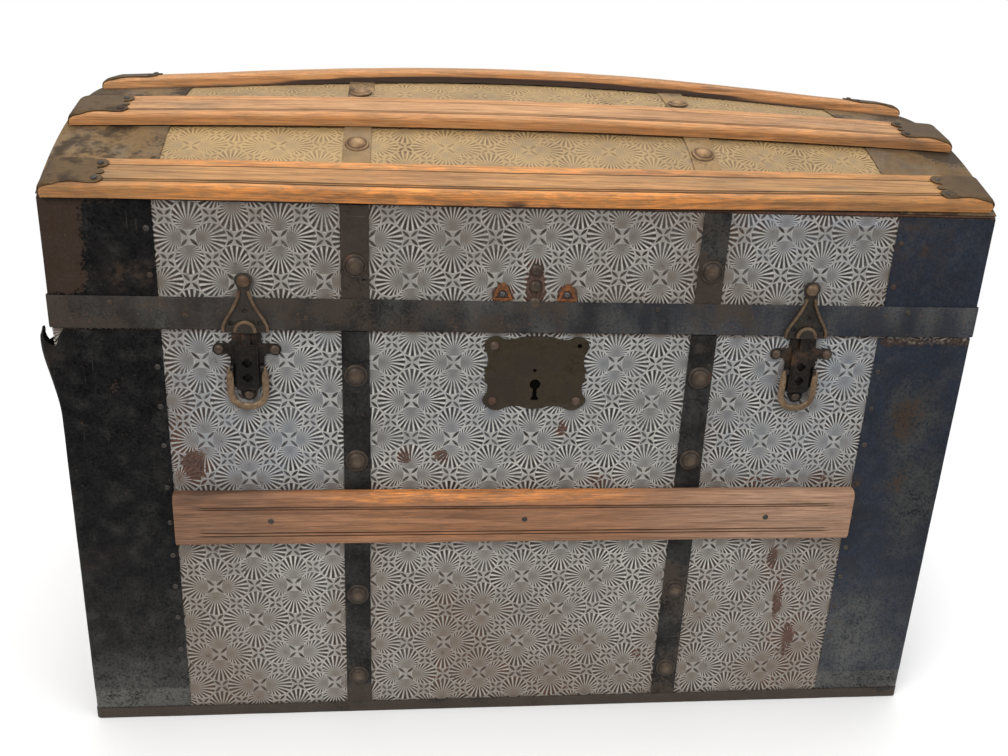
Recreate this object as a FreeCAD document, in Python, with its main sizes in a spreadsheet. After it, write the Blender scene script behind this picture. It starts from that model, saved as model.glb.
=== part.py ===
import FreeCAD, Part
import math
import os

import Sketcher
from FreeCAD import Placement, Rotation, Vector

# Dome top trunk. Millimetres, +Z up, +X to the right, the front faces -Y.
# The origin is at the middle of the underside, on the floor.

doc = FreeCAD.newDocument("dome_top_trunk")
sheet = doc.addObject("Spreadsheet::Sheet", "sizes")

SIZES = (
    # overall form
    ("trunk_length", 864, "length across the corner covers"),
    ("trunk_depth", 476, "depth across the embossed sheets"),
    ("body_height", 423, "floor to the top edge of the body"),
    ("seam_gap", 1, "body edge to lid edge"),
    ("lid_wall_height", 117, "lid edge to the spring of the dome"),
    ("dome_rise", 68, "rise of the dome at the two ends"),
    ("dome_crown", 12, "extra rise at the middle of the length"),
    # walls and skins
    ("board", 10, "thickness of the side boards"),
    ("bottom_thickness", 12, "thickness of the bottom board"),
    ("stave_thickness", 9, "thickness of the dome staves"),
    ("stave_joint", 0.4, "gap between two staves"),
    ("stave_count", 7, "number of dome staves"),
    ("tin_depth", 1.6, "embossed sheet over its ridges"),
    ("cover_sheet", 1, "thickness of the plain corner sheet"),
    ("lining_sheet", 0.6, "thickness of the paper lining"),
    ("fold_gap", 0.1, "slack under a strip laid over a skin"),
    ("curve_gap", 0.3, "room between two curved layers of the dome"),
    # base
    ("runner_height", 8, "height of a bottom runner"),
    ("runner_width", 44, "width of a bottom runner"),
    ("runner_middle", 300, "middle of an outer runner from the middle"),
    ("binding_height", 12, "height of the base binding"),
    ("binding_thickness", 2.4, "thickness of the base binding"),
    ("binding_lift", 0.4, "floor to the underside of the binding"),
    # corner covers, straps, band
    ("cover_width", 95, "leg of a corner cover"),
    ("strap_width", 25.4, "width of a strap"),
    ("strap_thickness", 1.4, "thickness of a strap"),
    ("strap_middle", 163.8, "middle of a strap from the middle of the trunk"),
    ("band_width", 30, "height of the band round the lid edge"),
    ("band_thickness", 1.5, "thickness of that band"),
    # slats
    ("body_slat_low", 206, "floor to the lower edge of a body slat"),
    ("body_slat_width", 56, "width of a body slat"),
    ("body_slat_thickness", 11, "thickness of a body slat"),
    ("lid_slat_width", 44, "width of a lid slat"),
    ("lid_slat_thickness", 12, "thickness of a lid slat"),
    ("edge_slat_rise", 3, "front and back slat: outer edge thicker and inner edge thinner by this"),
    ("slat_bevel", 2.5, "bevel along the face of a slat"),
    ("slat_end_inset", 5.5, "end of a lid slat inside the trunk's length"),
    ("outer_slat_inset", 18, "middle of the front and back lid slat from the face"),
    ("inner_slat_inset", 116, "middle of the second and fourth slat from the face"),
    ("crown_spring", 10, "how far the sprung crown slat stands off at its middle"),
    ("clamp_length", 54, "length of a slat end clamp"),
    ("clamp_sheet", 1.2, "sheet of a slat end clamp"),
    ("clamp_seat", 0.25, "slat to its end clamp"),
    # round heads
    ("cap_radius", 11.5, "radius of a strap cap"),
    ("cap_brim", 1.3, "thickness of its brim"),
    ("cap_dome_radius", 8.5, "radius of its raised middle"),
    ("cap_dome_height", 3.4, "height of its raised middle"),
    ("cap_top_drop", 43, "top cap of a body strap under the body edge"),
    ("cap_over_slat", 31, "second cap above the body slat"),
    ("cap_under_slat", 62, "third cap below the body slat"),
    ("cap_low", 46, "floor to the lowest cap"),
    ("nail_radius", 3, "radius of a nail head"),
    ("nail_height", 1.4, "height of a nail head"),
    ("rivet_radius", 4, "radius of a rivet head"),
    ("rivet_height", 2.4, "height of a rivet head"),
    ("nail_edge", 5.5, "nail line from the edge of a cover"),
    # lock
    ("lock_middle", 4.5, "middle of the lock plate to the right of the middle"),
    ("lock_width", 100, "width of the lock plate"),
    ("lock_height", 75, "height of the lock plate"),
    ("lock_drop", 2.5, "top of the lock plate under the body edge"),
    ("lock_plate_thickness", 1.6, "thickness of the lock plate"),
    ("lock_corner", 7, "radius of the notch at each corner"),
    ("key_drop", 51, "keyhole centre under the body edge"),
    ("key_radius", 4.4, "round part of the keyhole"),
    ("key_slot_width", 4.2, "slot of the keyhole"),
    ("key_slot_length", 11, "slot of the keyhole below its centre"),
    ("case_width", 58, "width of the lock case"),
    ("case_height", 46, "height of the lock case"),
    ("case_depth", 12, "depth of the lock case"),
    ("case_wall", 1.5, "wall of the lock case"),
    ("bolt_length", 26, "length of the lock bolt"),
    ("bolt_height", 9, "height of the lock bolt"),
    ("bolt_depth", 6, "depth of the lock bolt"),
    ("bolt_throw", 6, "travel of the lock bolt"),
    ("slide_gap", 0.3, "room on each side of a sliding piece"),
    # draw bolts and catches
    ("draw_middle", 262, "middle of a draw bolt from the middle"),
    ("draw_plate", 1.8, "thickness of the base and the catch plate"),
    ("draw_top_drop", 12, "top of the base under the body edge"),
    ("draw_height", 56, "height of the base"),
    ("ear_reach", 31, "half width of the base across its ears"),
    ("ear_height", 12, "height of an ear"),
    ("draw_waist", 15.2, "half width of the base at the bail"),
    ("draw_foot", 7, "half width of the foot of the base"),
    ("bar_half_width", 10.3, "half width of the draw bar"),
    ("bar_top_drop", 12.5, "top of the draw bar under the body edge"),
    ("bar_height", 44, "height of the draw bar"),
    ("bar_thickness", 3.6, "thickness of the draw bar"),
    ("tongue_half_width", 4, "half width of its tongue"),
    ("tongue_setback", 0.8, "tongue set forward from the back of the bar"),
    ("tongue_height", 12.3, "tongue above the draw bar"),
    ("pivot_drop", 35, "bail pivot under the body edge"),
    ("pivot_reach", 4.6, "bail pivot in front of the embossed sheet"),
    ("bail_half_width", 17.5, "middle of a bail leg from the middle"),
    ("bail_wire", 2.3, "radius of the bail wire"),
    ("bail_drop", 43, "bail pivot to the middle of the wire at the bottom"),
    ("pin_radius", 1.8, "radius of the ends of the bail"),
    ("pin_play", 0.06, "radial play of a turning pin"),
    ("lug_half_gap", 12, "inner side of a bail lug from the middle"),
    ("lug_thickness", 3, "thickness of a bail lug"),
    ("lug_height", 10, "height of a bail lug"),
    ("lug_reach", 8, "reach of a bail lug from the embossed sheet"),
    ("catch_half_width", 21, "half width of the catch at its foot"),
    ("catch_height", 56, "height of the catch"),
    ("catch_foot_drop", 2.4, "foot of the catch under the lid edge"),
    ("catch_neck", 4, "half width of the neck of the catch"),
    ("catch_head", 8, "half width of the head of the catch"),
    ("arch_radius", 10, "outer radius of the arch of the catch"),
    ("arch_wall", 2, "wall of the arch"),
    ("arch_reach", 7.5, "arch in front of the lid band"),
    # hinges
    ("hinge_middle", 270, "middle of an outer hinge from the middle"),
    ("hinge_width", 60, "width of a hinge"),
    ("hinge_leaf", 1.8, "thickness of a hinge leaf"),
    ("hinge_leaf_height", 62, "height of a hinge leaf"),
    ("hinge_pin_radius", 2, "radius of a hinge pin"),
    ("knuckle_radius", 3.6, "outer radius of a knuckle"),
    ("knuckle_gap", 0.4, "gap between two knuckles"),
    # handles
    ("handle_level", 292, "floor to the middle of a handle"),
    ("handle_reach", 118, "half length of a handle"),
    ("handle_flat", 34, "flat end of a handle under its cap"),
    ("handle_bow", 34, "bow of a handle off the end"),
    ("handle_width", 30, "width of a handle"),
    ("leather", 6, "thickness of a handle"),
    ("handle_cap_wall", 1.6, "sheet of a handle cap"),
    ("handle_cap_width", 46, "width of a handle cap"),
    ("handle_cap_length", 30, "length of a handle cap"),
    # inside
    ("cleat_section", 14, "side of a tray cleat"),
    ("cleat_level", 318, "floor to the top of a tray cleat"),
    # remains of the hasp
    ("hasp_pitch", 15.5, "spacing of the three hasp rivets"),
    ("clip_middle", 30, "middle of a hasp clip from the middle"),
)
for row, (alias, value, note) in enumerate(SIZES, 1):
    sheet.set(f"A{row}", note)
    sheet.set(f"B{row}", str(value))
    sheet.setAlias(f"B{row}", alias)
doc.recompute()


class Named:
    """A length as an expression over the sheet, with plain arithmetic."""

    def __init__(self, text):
        self.text = str(text)

    def __add__(self, other):
        return Named(f"({self.text} + {other})")

    def __radd__(self, other):
        return Named(f"({other} + {self.text})")

    def __sub__(self, other):
        return Named(f"({self.text} - {other})")

    def __rsub__(self, other):
        return Named(f"({other} - {self.text})")

    def __mul__(self, other):
        return Named(f"({self.text} * {other})")

    __rmul__ = __mul__

    def __truediv__(self, other):
        return Named(f"({self.text} / {other})")

    def __neg__(self):
        return Named(f"(0 - {self.text})")

    def __str__(self):
        return self.text

    def __float__(self):
        return float(sheet.evalExpression(self.text))


class Sizes:
    """Reads an alias of the sheet as a Named length: S.board."""

    def __getattr__(self, alias):
        return Named(f"sizes.{alias}")


S = Sizes()

# Planes that many pieces share
half_length = S.trunk_length / 2
half_depth = S.trunk_depth / 2
skin_x = half_length - S.cover_sheet
wood_x = skin_x - S.tin_depth
wood_y = half_depth - S.tin_depth
room_x = wood_x - S.board
room_y = wood_y - S.board
cover_y = half_depth + S.cover_sheet
strap_y = half_depth + S.strap_thickness
band_y = cover_y + S.band_thickness
band_x = half_length + S.band_thickness
lid_low = S.body_height + S.seam_gap
spring_z = lid_low + S.lid_wall_height
floor_top = S.runner_height + S.bottom_thickness
wood_dome = -(S.tin_depth + S.curve_gap)
room_dome = wood_dome - S.stave_thickness

pieces = {}


# ---------------------------------------------------------------- helpers


def keep(label, item):
    """Enters a finished sub-part under the label that names its file."""
    item.Label = label
    pieces[label] = item
    return item


def block(name, x, y, z):
    """A box from three pairs of low and high limits."""
    box = doc.addObject("Part::Box", name)
    for axis, side, (low, high) in zip("xyz", ("Length", "Width", "Height"), (x, y, z)):
        box.setExpression(side, str(Named(high) - Named(low)))
        box.setExpression(f"Placement.Base.{axis}", str(low))
    return box


def rod(name, radius, length, centre, rotation):
    """A cylinder whose lower end is at centre, turned by rotation."""
    item = doc.addObject("Part::Cylinder", name)
    item.setExpression("Radius", str(radius))
    item.setExpression("Height", str(length))
    item.Placement = Placement(Vector(), rotation)
    for axis, place in zip("xyz", centre):
        item.setExpression(f"Placement.Base.{axis}", str(place))
    return item


def cut(name, base, *tools):
    """Base less every tool."""
    for count, tool in enumerate(tools):
        item = doc.addObject("Part::Cut", f"{name}_cut{count}")
        item.Base = base
        item.Tool = tool
        base = item
    return base


def fuse(name, members):
    item = doc.addObject("Part::MultiFuse", name)
    item.Shapes = members
    return item


def group(name, members):
    """Separate solids that share one node."""
    item = doc.addObject("Part::Compound", name)
    item.Links = members
    return item


def plane_of(body, role):
    return next(plane for plane in body.Origin.OriginFeatures if plane.Role == role)


def outline(body, name, role, points, circles=()):
    """A closed sketch through points, and circles, held by its own constraints."""
    sketch = body.newObject("Sketcher::SketchObject", name)
    sketch.AttachmentSupport = [(plane_of(body, role), "")]
    sketch.MapMode = "FlatFace"
    places = [(float(Named(u)), float(Named(v))) for u, v in points]
    count = len(places)
    for index, (start, end) in enumerate(zip(places, places[1:] + places[:1])):
        line = Part.LineSegment(Vector(*start, 0), Vector(*end, 0))
        sketch.addGeometry(line, False)
        if index:
            sketch.addConstraint(Sketcher.Constraint("Coincident", index - 1, 2, index, 1))
    if count:
        sketch.addConstraint(Sketcher.Constraint("Coincident", count - 1, 2, 0, 1))
    for index, point in enumerate(points):
        hold(sketch, index, 1, point, places[index])
    for index, (u, v, radius) in enumerate(circles, count):
        place = (float(Named(u)), float(Named(v)))
        size = float(Named(radius))
        sketch.addGeometry(Part.Circle(Vector(*place, 0), Vector(0, 0, 1), size), False)
        number = sketch.addConstraint(Sketcher.Constraint("Radius", index, size))
        sketch.setExpression(f"Constraints[{number}]", str(radius))
        hold(sketch, index, 3, (u, v), place)
    return sketch


def hold(sketch, geometry, position, point, place):
    """Ties one point of a sketch to its two named distances from the origin."""
    for kind, text, value in zip(("DistanceX", "DistanceY"), point, place):
        rule = Sketcher.Constraint(kind, -1, 1, geometry, position, value)
        number = sketch.addConstraint(rule)
        sketch.setExpression(f"Constraints[{number}]", str(text))


def pad(body, sketch, length, midplane=False):
    item = body.newObject("PartDesign::Pad", f"{sketch.Name}_pad")
    item.Profile = sketch
    item.Midplane = midplane
    item.setExpression("Length", str(length))


def pocket(body, sketch, length, reverse=False, midplane=False):
    """Cuts a sketch out of its body, and stops if it cuts nothing."""
    doc.recompute()
    before = body.Shape.Volume
    item = body.newObject("PartDesign::Pocket", f"{sketch.Name}_pocket")
    item.Profile = sketch
    item.Midplane = midplane
    item.Reversed = reverse
    item.setExpression("Length", str(length))
    doc.recompute()
    if body.Shape.Volume >= before:
        raise RuntimeError(f"{sketch.Name} cuts nothing")


def solid_body(name, base=(0, 0, 0)):
    body = doc.addObject("PartDesign::Body", name)
    for axis, place in zip("xyz", base):
        body.setExpression(f"Placement.Base.{axis}", str(place))
    return body


def prism(name, role, points, length, base=(0, 0, 0), midplane=False):
    """A closed outline padded into a body of its own."""
    body = solid_body(name, base)
    sketch = outline(body, f"{name}_outline", role, points)
    pad(body, sketch, length, midplane)
    return body


def feature(name, shape):
    item = doc.addObject("Part::Feature", name)
    item.Shape = shape
    item.Placement = Placement()
    return item


# ------------------------------------------------------- shape of the dome


def dome_arc(x):
    """Radius and centre height of the dome's arc at a place along the length."""
    share = x / float(half_length)
    rise = float(S.dome_rise) + float(S.dome_crown) * (1 - share * share)
    radius = (float(half_depth) ** 2 + rise**2) / (2 * rise)
    return radius, float(spring_z) + rise - radius


def dome_point(x, y, offset):
    """The point over (x, y) of the embossed face, moved outwards by offset."""
    radius, centre = dome_arc(x)
    angle = math.asin(y / radius)
    out = radius + offset
    return Vector(x, out * math.sin(angle), centre + out * math.cos(angle))


def dome_normal(x, y):
    """Square to the dome within the section at x."""
    radius, _ = dome_arc(x)
    return Vector(0, y / radius, math.sqrt(1 - (y / radius) ** 2))


def dome_up(x, y):
    """Square to the dome, with its slope along the length as well."""
    up = dome_normal(x, y)
    up.x = 2 * float(S.dome_crown) * x / float(half_length) ** 2
    return up.normalize()


def dome_sheet(stations, y_low, y_high, inner, outer):
    """A curved sheet between two offsets, lofted through stations along X."""
    sections = []
    for x in stations:
        middle = (y_low + y_high) / 2
        corner = {
            (y, offset): dome_point(x, y, offset)
            for y in (y_low, middle, y_high)
            for offset in (inner, outer)
        }
        edges = [
            Part.Arc(corner[y_low, inner], corner[middle, inner], corner[y_high, inner]).toShape(),
            Part.makeLine(corner[y_high, inner], corner[y_high, outer]),
            Part.Arc(corner[y_high, outer], corner[middle, outer], corner[y_low, outer]).toShape(),
            Part.makeLine(corner[y_low, outer], corner[y_low, inner]),
        ]
        sections.append(Part.Wire(edges))
    return Part.makeLoft(sections, True, False)


def dome_bar(stations, y_middle, profile, lift):
    """A straight bar laid on the dome: profile is (along, out) pairs at each station."""
    sections = []
    for x in stations:
        foot = dome_point(x, y_middle, lift(x))
        out = dome_normal(x, y_middle)
        along = Vector(0, out.z, -out.y)
        points = [foot + along * u + out * v for u, v in profile]
        sections.append(Part.makePolygon(points + points[:1]))
    return Part.makeLoft(sections, True, False)


def head(radius, height, place, out):
    """A low round head standing on place along out."""
    sphere = (radius**2 + height**2) / (2 * height)
    low = math.degrees(math.asin((sphere - height) / sphere))
    ball = Part.makeSphere(sphere, Vector(0, 0, height - sphere), Vector(0, 0, 1), low, 90, 360)
    ball.Placement = Placement(place, Rotation(Vector(0, 0, 1), out))
    return ball


def strap_cap(place, out):
    """A domed cap with a flat brim."""
    brim = Part.makeCylinder(float(S.cap_radius), float(S.cap_brim))
    foot = Vector(0, 0, float(S.cap_brim))
    middle = head(float(S.cap_dome_radius), float(S.cap_dome_height), foot, Vector(0, 0, 1))
    cap = brim.fuse(middle)
    cap.Placement = Placement(place, Rotation(Vector(0, 0, 1), out))
    return cap


FRONT = Vector(0, -1, 0)
BACK = Vector(0, 1, 0)
LEFT = Vector(-1, 0, 0)
RIGHT = Vector(1, 0, 0)
ABOUT_X = Rotation(Vector(0, 1, 0), 90)
ABOUT_Y = Rotation(Vector(1, 0, 0), 90)
SIDES = (("front", -1), ("back", 1))
ENDS = (("left", -1), ("right", 1))


# ------------------------------------------------------------ body carcass


def keyhole_cutters(name, low, high):
    """The round part and the slot of the keyhole, from y low to y high."""
    level = S.body_height - S.key_drop
    centre = (S.lock_middle, high, level)
    round_part = rod(f"{name}_round", S.key_radius, Named(high) - Named(low), centre, ABOUT_Y)
    slot = block(
        f"{name}_slot",
        (S.lock_middle - S.key_slot_width / 2, S.lock_middle + S.key_slot_width / 2),
        (low, high),
        (level - S.key_slot_length, level),
    )
    return round_part, slot


def body_boards():
    wall_z = (S.runner_height, S.body_height)
    front = block("front_board_blank", (-wood_x, wood_x), (-wood_y, -room_y), wall_z)
    cutters = keyhole_cutters("front_board", -wood_y - S.board, -room_y + S.board)
    keep("body_front_board", cut("front_board", front, *cutters))
    keep("body_back_board", block("back_board", (-wood_x, wood_x), (room_y, wood_y), wall_z))
    for side, sign in ENDS:
        low, high = (room_x, wood_x) if sign > 0 else (-wood_x, -room_x)
        keep(f"body_{side}_board", block(f"{side}_board", (low, high), (-room_y, room_y), wall_z))
    keep(
        "bottom_board",
        block("bottom", (-room_x, room_x), (-room_y, room_y), (S.runner_height, floor_top)),
    )


def base_pieces():
    runners = [
        block(
            f"runner{number}",
            (place - S.runner_width / 2, place + S.runner_width / 2),
            (-wood_y, wood_y),
            (0, S.runner_height),
        )
        for number, place in enumerate((-S.runner_middle, Named(0), Named(S.runner_middle)))
    ]
    keep("bottom_runners", group("runners", runners))
    level = (S.binding_lift, S.binding_lift + S.binding_height)
    out_x = skin_x + S.binding_thickness
    out_y = half_depth + S.binding_thickness
    strips = [
        block("binding_front", (-out_x, out_x), (-out_y, -half_depth), level),
        block("binding_back", (-out_x, out_x), (half_depth, out_y), level),
        block("binding_left", (-out_x, -skin_x), (-half_depth, half_depth), level),
        block("binding_right", (skin_x, out_x), (-half_depth, half_depth), level),
    ]
    keep("base_binding", group("binding", strips))


def body_skins():
    tin_z = (S.runner_height, S.body_height)
    front = block("front_tin_blank", (-wood_x, wood_x), (-half_depth, -wood_y), tin_z)
    cutters = keyhole_cutters("front_tin", -half_depth - S.board, -wood_y + S.tin_depth)
    keep("body_front_tin", cut("front_tin", front, *cutters))
    keep("body_back_tin", block("back_tin", (-wood_x, wood_x), (wood_y, half_depth), tin_z))
    ends = [
        block("left_tin", (-skin_x, -wood_x), (-half_depth, half_depth), tin_z),
        block("right_tin", (wood_x, skin_x), (-half_depth, half_depth), tin_z),
    ]
    keep("body_end_tins", group("end_tins", ends))


def corner_cover(name, sign_x, sign_y, low, high):
    """An L of plain sheet folded round one upright corner."""
    inner_x = half_length - S.cover_width
    inner_y = cover_y - S.cover_width
    corner = [
        (inner_x, half_depth),
        (skin_x, half_depth),
        (skin_x, inner_y),
        (half_length, inner_y),
        (half_length, cover_y),
        (inner_x, cover_y),
    ]
    points = [(x * sign_x, y * sign_y) for x, y in corner]
    return prism(name, "XY_Plane", points, Named(high) - Named(low), base=(0, 0, low))


def corner_covers(name, label, low, high):
    members = [
        corner_cover(f"{name}_{side}_{end}", sign_x, sign_y, low, high)
        for side, sign_y in SIDES
        for end, sign_x in ENDS
    ]
    keep(label, group(name, members))


def straps(name, low, high):
    """Four upright straps, two on the front and two on the back."""
    half = S.strap_width / 2
    members = []
    for end, sign in ENDS:
        middle = S.strap_middle * sign
        x = (middle - half, middle + half)
        members.append(block(f"{name}_front_{end}", x, (-strap_y, -half_depth), (low, high)))
        members.append(block(f"{name}_back_{end}", x, (half_depth, strap_y), (low, high)))
    return members


def slat_profile(taper):
    """Moulding with bevelled edges and a raised middle; taper raises its top along u."""
    half = float(S.lid_slat_width) / 2
    top = float(S.lid_slat_thickness)
    bevel = float(S.slat_bevel)
    step = bevel / 4
    rim = [
        (half, top - bevel - step),
        (half - bevel, top - step),
        (half - 4 * bevel, top - step),
        (half - 4 * bevel, top),
        (-half + 4 * bevel, top),
        (-half + 4 * bevel, top - step),
        (-half + bevel, top - step),
        (-half, top - bevel - step),
    ]
    return [(-half, 0), (half, 0)] + [(u, v + taper * u) for u, v in rim]


def slat_taper(inset, sign):
    """Slope of a slat's face against its back: the two outer slats are wedges."""
    if inset != "outer_slat_inset":
        return 0
    return sign * 2 * float(S.edge_slat_rise) / float(S.lid_slat_width)


def body_slats():
    foot = strap_y + S.fold_gap
    low = S.body_slat_low
    high = low + S.body_slat_width
    face = foot + S.body_slat_thickness
    step = S.slat_bevel / 4
    shelf = face - step
    for side, sign in SIDES:
        rim = [
            (foot, low),
            (shelf - S.slat_bevel, low),
            (shelf, low + S.slat_bevel),
            (shelf, low + 4 * S.slat_bevel),
            (face, low + 4 * S.slat_bevel),
            (face, high - 4 * S.slat_bevel),
            (shelf, high - 4 * S.slat_bevel),
            (shelf, high - S.slat_bevel),
            (shelf - S.slat_bevel, high),
            (foot, high),
        ]
        points = [(y * sign, z) for y, z in rim]
        length = 2 * (half_length - S.cover_width - S.fold_gap * 5)
        keep(f"body_{side}_slat", prism(f"{side}_slat", "YZ_Plane", points, length, midplane=True))


def body_fasteners():
    strap_x = float(S.strap_middle)
    face = float(strap_y)
    top = float(S.body_height)
    slat_low = float(S.body_slat_low)
    slat_high = slat_low + float(S.body_slat_width)
    levels = (
        top - float(S.cap_top_drop),
        slat_high + float(S.cap_over_slat),
        slat_low - float(S.cap_under_slat),
        float(S.cap_low),
    )
    caps = []
    for x in (-strap_x, strap_x):
        for z in levels:
            caps.append(strap_cap(Vector(x, -face, z), FRONT))
            caps.append(strap_cap(Vector(x, face, z), BACK))
    keep("body_strap_caps", feature("strap_caps", Part.makeCompound(caps)))

    shares = (0.915, 0.823, 0.73, 0.626, 0.537, 0.452, 0.369, 0.284, 0.194)
    nails = cover_nails([top * share for share in shares])
    slat_face = face + float(S.fold_gap) + float(S.body_slat_thickness)
    middle = (slat_low + slat_high) / 2
    inner = strap_x * 1.5
    for x in (-inner, 0, inner):
        nails.append(nail(Vector(x, -slat_face, middle), FRONT))
        nails.append(nail(Vector(x, slat_face, middle), BACK))
    keep("body_nails", feature("body_nail_heads", Part.makeCompound(nails)))


def nail(place, out):
    return head(float(S.nail_radius), float(S.nail_height), place, out)


def rivet(place, out):
    return head(float(S.rivet_radius), float(S.rivet_height), place, out)


def cover_nails(levels):
    """Nails along both free edges of the four corner covers."""
    nails = []
    x = float(half_length - S.cover_width + S.nail_edge)
    y = float(cover_y - S.cover_width + S.nail_edge)
    out_x = float(half_length)
    out_y = float(cover_y)
    for z in levels:
        for sign in (-1, 1):
            nails.append(nail(Vector(sign * x, -out_y, z), FRONT))
            nails.append(nail(Vector(sign * x, out_y, z), BACK))
            nails.append(nail(Vector(-out_x, sign * y, z), LEFT))
            nails.append(nail(Vector(out_x, sign * y, z), RIGHT))
    return nails


# -------------------------------------------------------------------- lock


def lock_pieces():
    top = S.body_height - S.lock_drop
    base = (S.lock_middle, -half_depth, 0)
    half = S.lock_width / 2
    low = top - S.lock_height
    notch = S.lock_corner
    waist = 0.3 * S.lock_corner
    points = [
        (-half, low + notch),
        (-half + waist, low + notch),
        (-half + notch, low + waist),
        (-half + notch, low),
        (half - notch, low),
        (half - notch, low + waist),
        (half - waist, low + notch),
        (half, low + notch),
        (half, top - notch),
        (half - waist, top - notch),
        (half - notch, top - waist),
        (half - notch, top),
        (-half + notch, top),
        (-half + notch, top - waist),
        (-half + waist, top - notch),
        (-half, top - notch),
    ]
    plate = prism("lock_plate_body", "XZ_Plane", points, S.lock_plate_thickness, base=base)
    level = S.body_height - S.key_drop
    pin = outline(plate, "keyhole_round", "XZ_Plane", [], [(0, level, S.key_radius)])
    pocket(plate, pin, S.lock_plate_thickness * 2, midplane=True)
    slot_half = S.key_slot_width / 2
    slot = outline(
        plate,
        "keyhole_slot",
        "XZ_Plane",
        [
            (-slot_half, level - S.key_slot_length),
            (slot_half, level - S.key_slot_length),
            (slot_half, level),
            (-slot_half, level),
        ],
    )
    pocket(plate, slot, S.lock_plate_thickness * 2, midplane=True)
    keep("lock_plate", plate)

    middle = S.lock_middle
    inner_half = S.case_width / 2 - S.case_wall
    case_low = level - S.case_height / 2
    back = -room_y + S.case_depth
    shell = block(
        "case_blank",
        (middle - S.case_width / 2, middle + S.case_width / 2),
        (-room_y, back),
        (case_low, case_low + S.case_height),
    )
    hollow = block(
        "case_hollow",
        (middle - inner_half, middle + inner_half),
        (-room_y, back - S.case_wall),
        (case_low + S.case_wall, case_low + S.case_height - S.case_wall),
    )
    keep("lock_case", cut("case", shell, hollow))

    bolt_top = case_low + S.case_height - S.case_wall - S.slide_gap
    start = middle - S.bolt_length / 2 - S.bolt_throw / 2
    bolt_back = back - S.case_wall - S.slide_gap
    bolt = block(
        "bolt",
        (start, start + S.bolt_length),
        (bolt_back - S.bolt_depth, bolt_back),
        (bolt_top - S.bolt_height, bolt_top),
    )
    keep("lock_bolt", bolt)


# ------------------------------------------------- draw bolts and catches


def draw_bolt(side, sign):
    """Base, draw bar and bail of one draw bolt, seen from the front."""
    edge = S.body_height
    base_at = (S.draw_middle * sign, -half_depth, 0)
    top = edge - S.draw_top_drop
    low = top - S.draw_height
    ear_low = top - S.ear_height
    waist_top = ear_low - S.ear_height / 2
    waist_low = waist_top - S.ear_height
    right_side = [
        (S.draw_foot, low),
        (S.draw_waist, waist_low),
        (S.draw_waist, waist_top),
        (S.ear_reach, ear_low),
        (S.ear_reach, top),
    ]
    points = right_side + [(-x, z) for x, z in reversed(right_side)]
    base = prism(f"{side}_base", "XZ_Plane", points, S.draw_plate, base=base_at)
    pivot = edge - S.pivot_drop
    lug_out = S.lug_half_gap + S.lug_thickness
    for name, lug in (("a", (-lug_out, -S.lug_half_gap)), ("b", (S.lug_half_gap, lug_out))):
        corners = [
            (lug[0], pivot - S.lug_height / 2),
            (lug[1], pivot - S.lug_height / 2),
            (lug[1], pivot + S.lug_height / 2),
            (lug[0], pivot + S.lug_height / 2),
        ]
        sketch = outline(base, f"{side}_lug_{name}", "XZ_Plane", corners)
        pad(base, sketch, S.lug_reach)
    hole = outline(
        base, f"{side}_pin_holes", "YZ_Plane", [], [(-S.pivot_reach, pivot, S.pin_radius + S.pin_play)]
    )
    pocket(base, hole, 4 * S.bail_half_width, midplane=True)
    keep(f"{side}_draw_base", base)

    bar_top = edge - S.bar_top_drop
    bar_at = (S.draw_middle * sign, -half_depth - S.draw_plate - S.slide_gap, 0)
    wide = S.bar_half_width
    bar_low = bar_top - S.bar_height
    bar = prism(
        f"{side}_bar",
        "XZ_Plane",
        [(-wide, bar_low), (wide, bar_low), (wide, bar_top), (-wide, bar_top)],
        S.bar_thickness,
        base=bar_at,
    )
    eyes = [
        (0, bar_low + S.bar_height * 0.6, S.tongue_half_width * 0.8),
        (0, bar_low + S.bar_height * 0.28, S.tongue_half_width * 0.8),
    ]
    sketch = outline(bar, f"{side}_bar_eyes", "XZ_Plane", [], eyes)
    pocket(bar, sketch, 2 * S.bar_thickness, midplane=True)
    narrow = S.tongue_half_width
    tip = bar_top + S.tongue_height
    forward = S.tongue_setback
    tongue = outline(
        bar,
        f"{side}_tongue",
        "YZ_Plane",
        [
            (-forward, bar_top - S.bar_thickness),
            (-forward, tip),
            (-S.bar_thickness, tip),
            (-S.bar_thickness, bar_top - S.bar_thickness),
        ],
    )
    pad(bar, tongue, 2 * narrow, midplane=True)
    keep(f"{side}_draw_bar", bar)
    keep(f"{side}_bail", bail(side, sign, pivot))


def bail(side, sign, pivot):
    """A wire loop on two inward pins; it hangs from the lugs of the base."""
    middle = float(S.draw_middle) * sign
    half = float(S.bail_half_width)
    wire = float(S.bail_wire)
    y = -float(half_depth) - float(S.pivot_reach)
    top = float(pivot)
    bend = top - float(S.bail_drop) + half
    path = Part.Wire(
        [
            Part.makeLine(Vector(middle - half, y, top), Vector(middle - half, y, bend)),
            Part.Arc(
                Vector(middle - half, y, bend),
                Vector(middle, y, bend - half),
                Vector(middle + half, y, bend),
            ).toShape(),
            Part.makeLine(Vector(middle + half, y, bend), Vector(middle + half, y, top)),
        ]
    )
    section = Part.Wire(Part.makeCircle(wire, Vector(middle - half, y, top), Vector(0, 0, 1)))
    loop = path.makePipeShell([section], True, True)
    parts = [loop]
    inner = float(S.lug_half_gap) + float(S.slide_gap)
    for turn in (-1, 1):
        elbow = Part.makeSphere(wire, Vector(middle + turn * half, y, top))
        pin = Part.makeCylinder(
            float(S.pin_radius), half - inner, Vector(middle + turn * half, y, top), Vector(-turn, 0, 0)
        )
        parts += [elbow, pin]
    shape = parts[0].multiFuse(parts[1:]).removeSplitter()
    return feature(f"{side}_bail_wire", shape)


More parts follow.
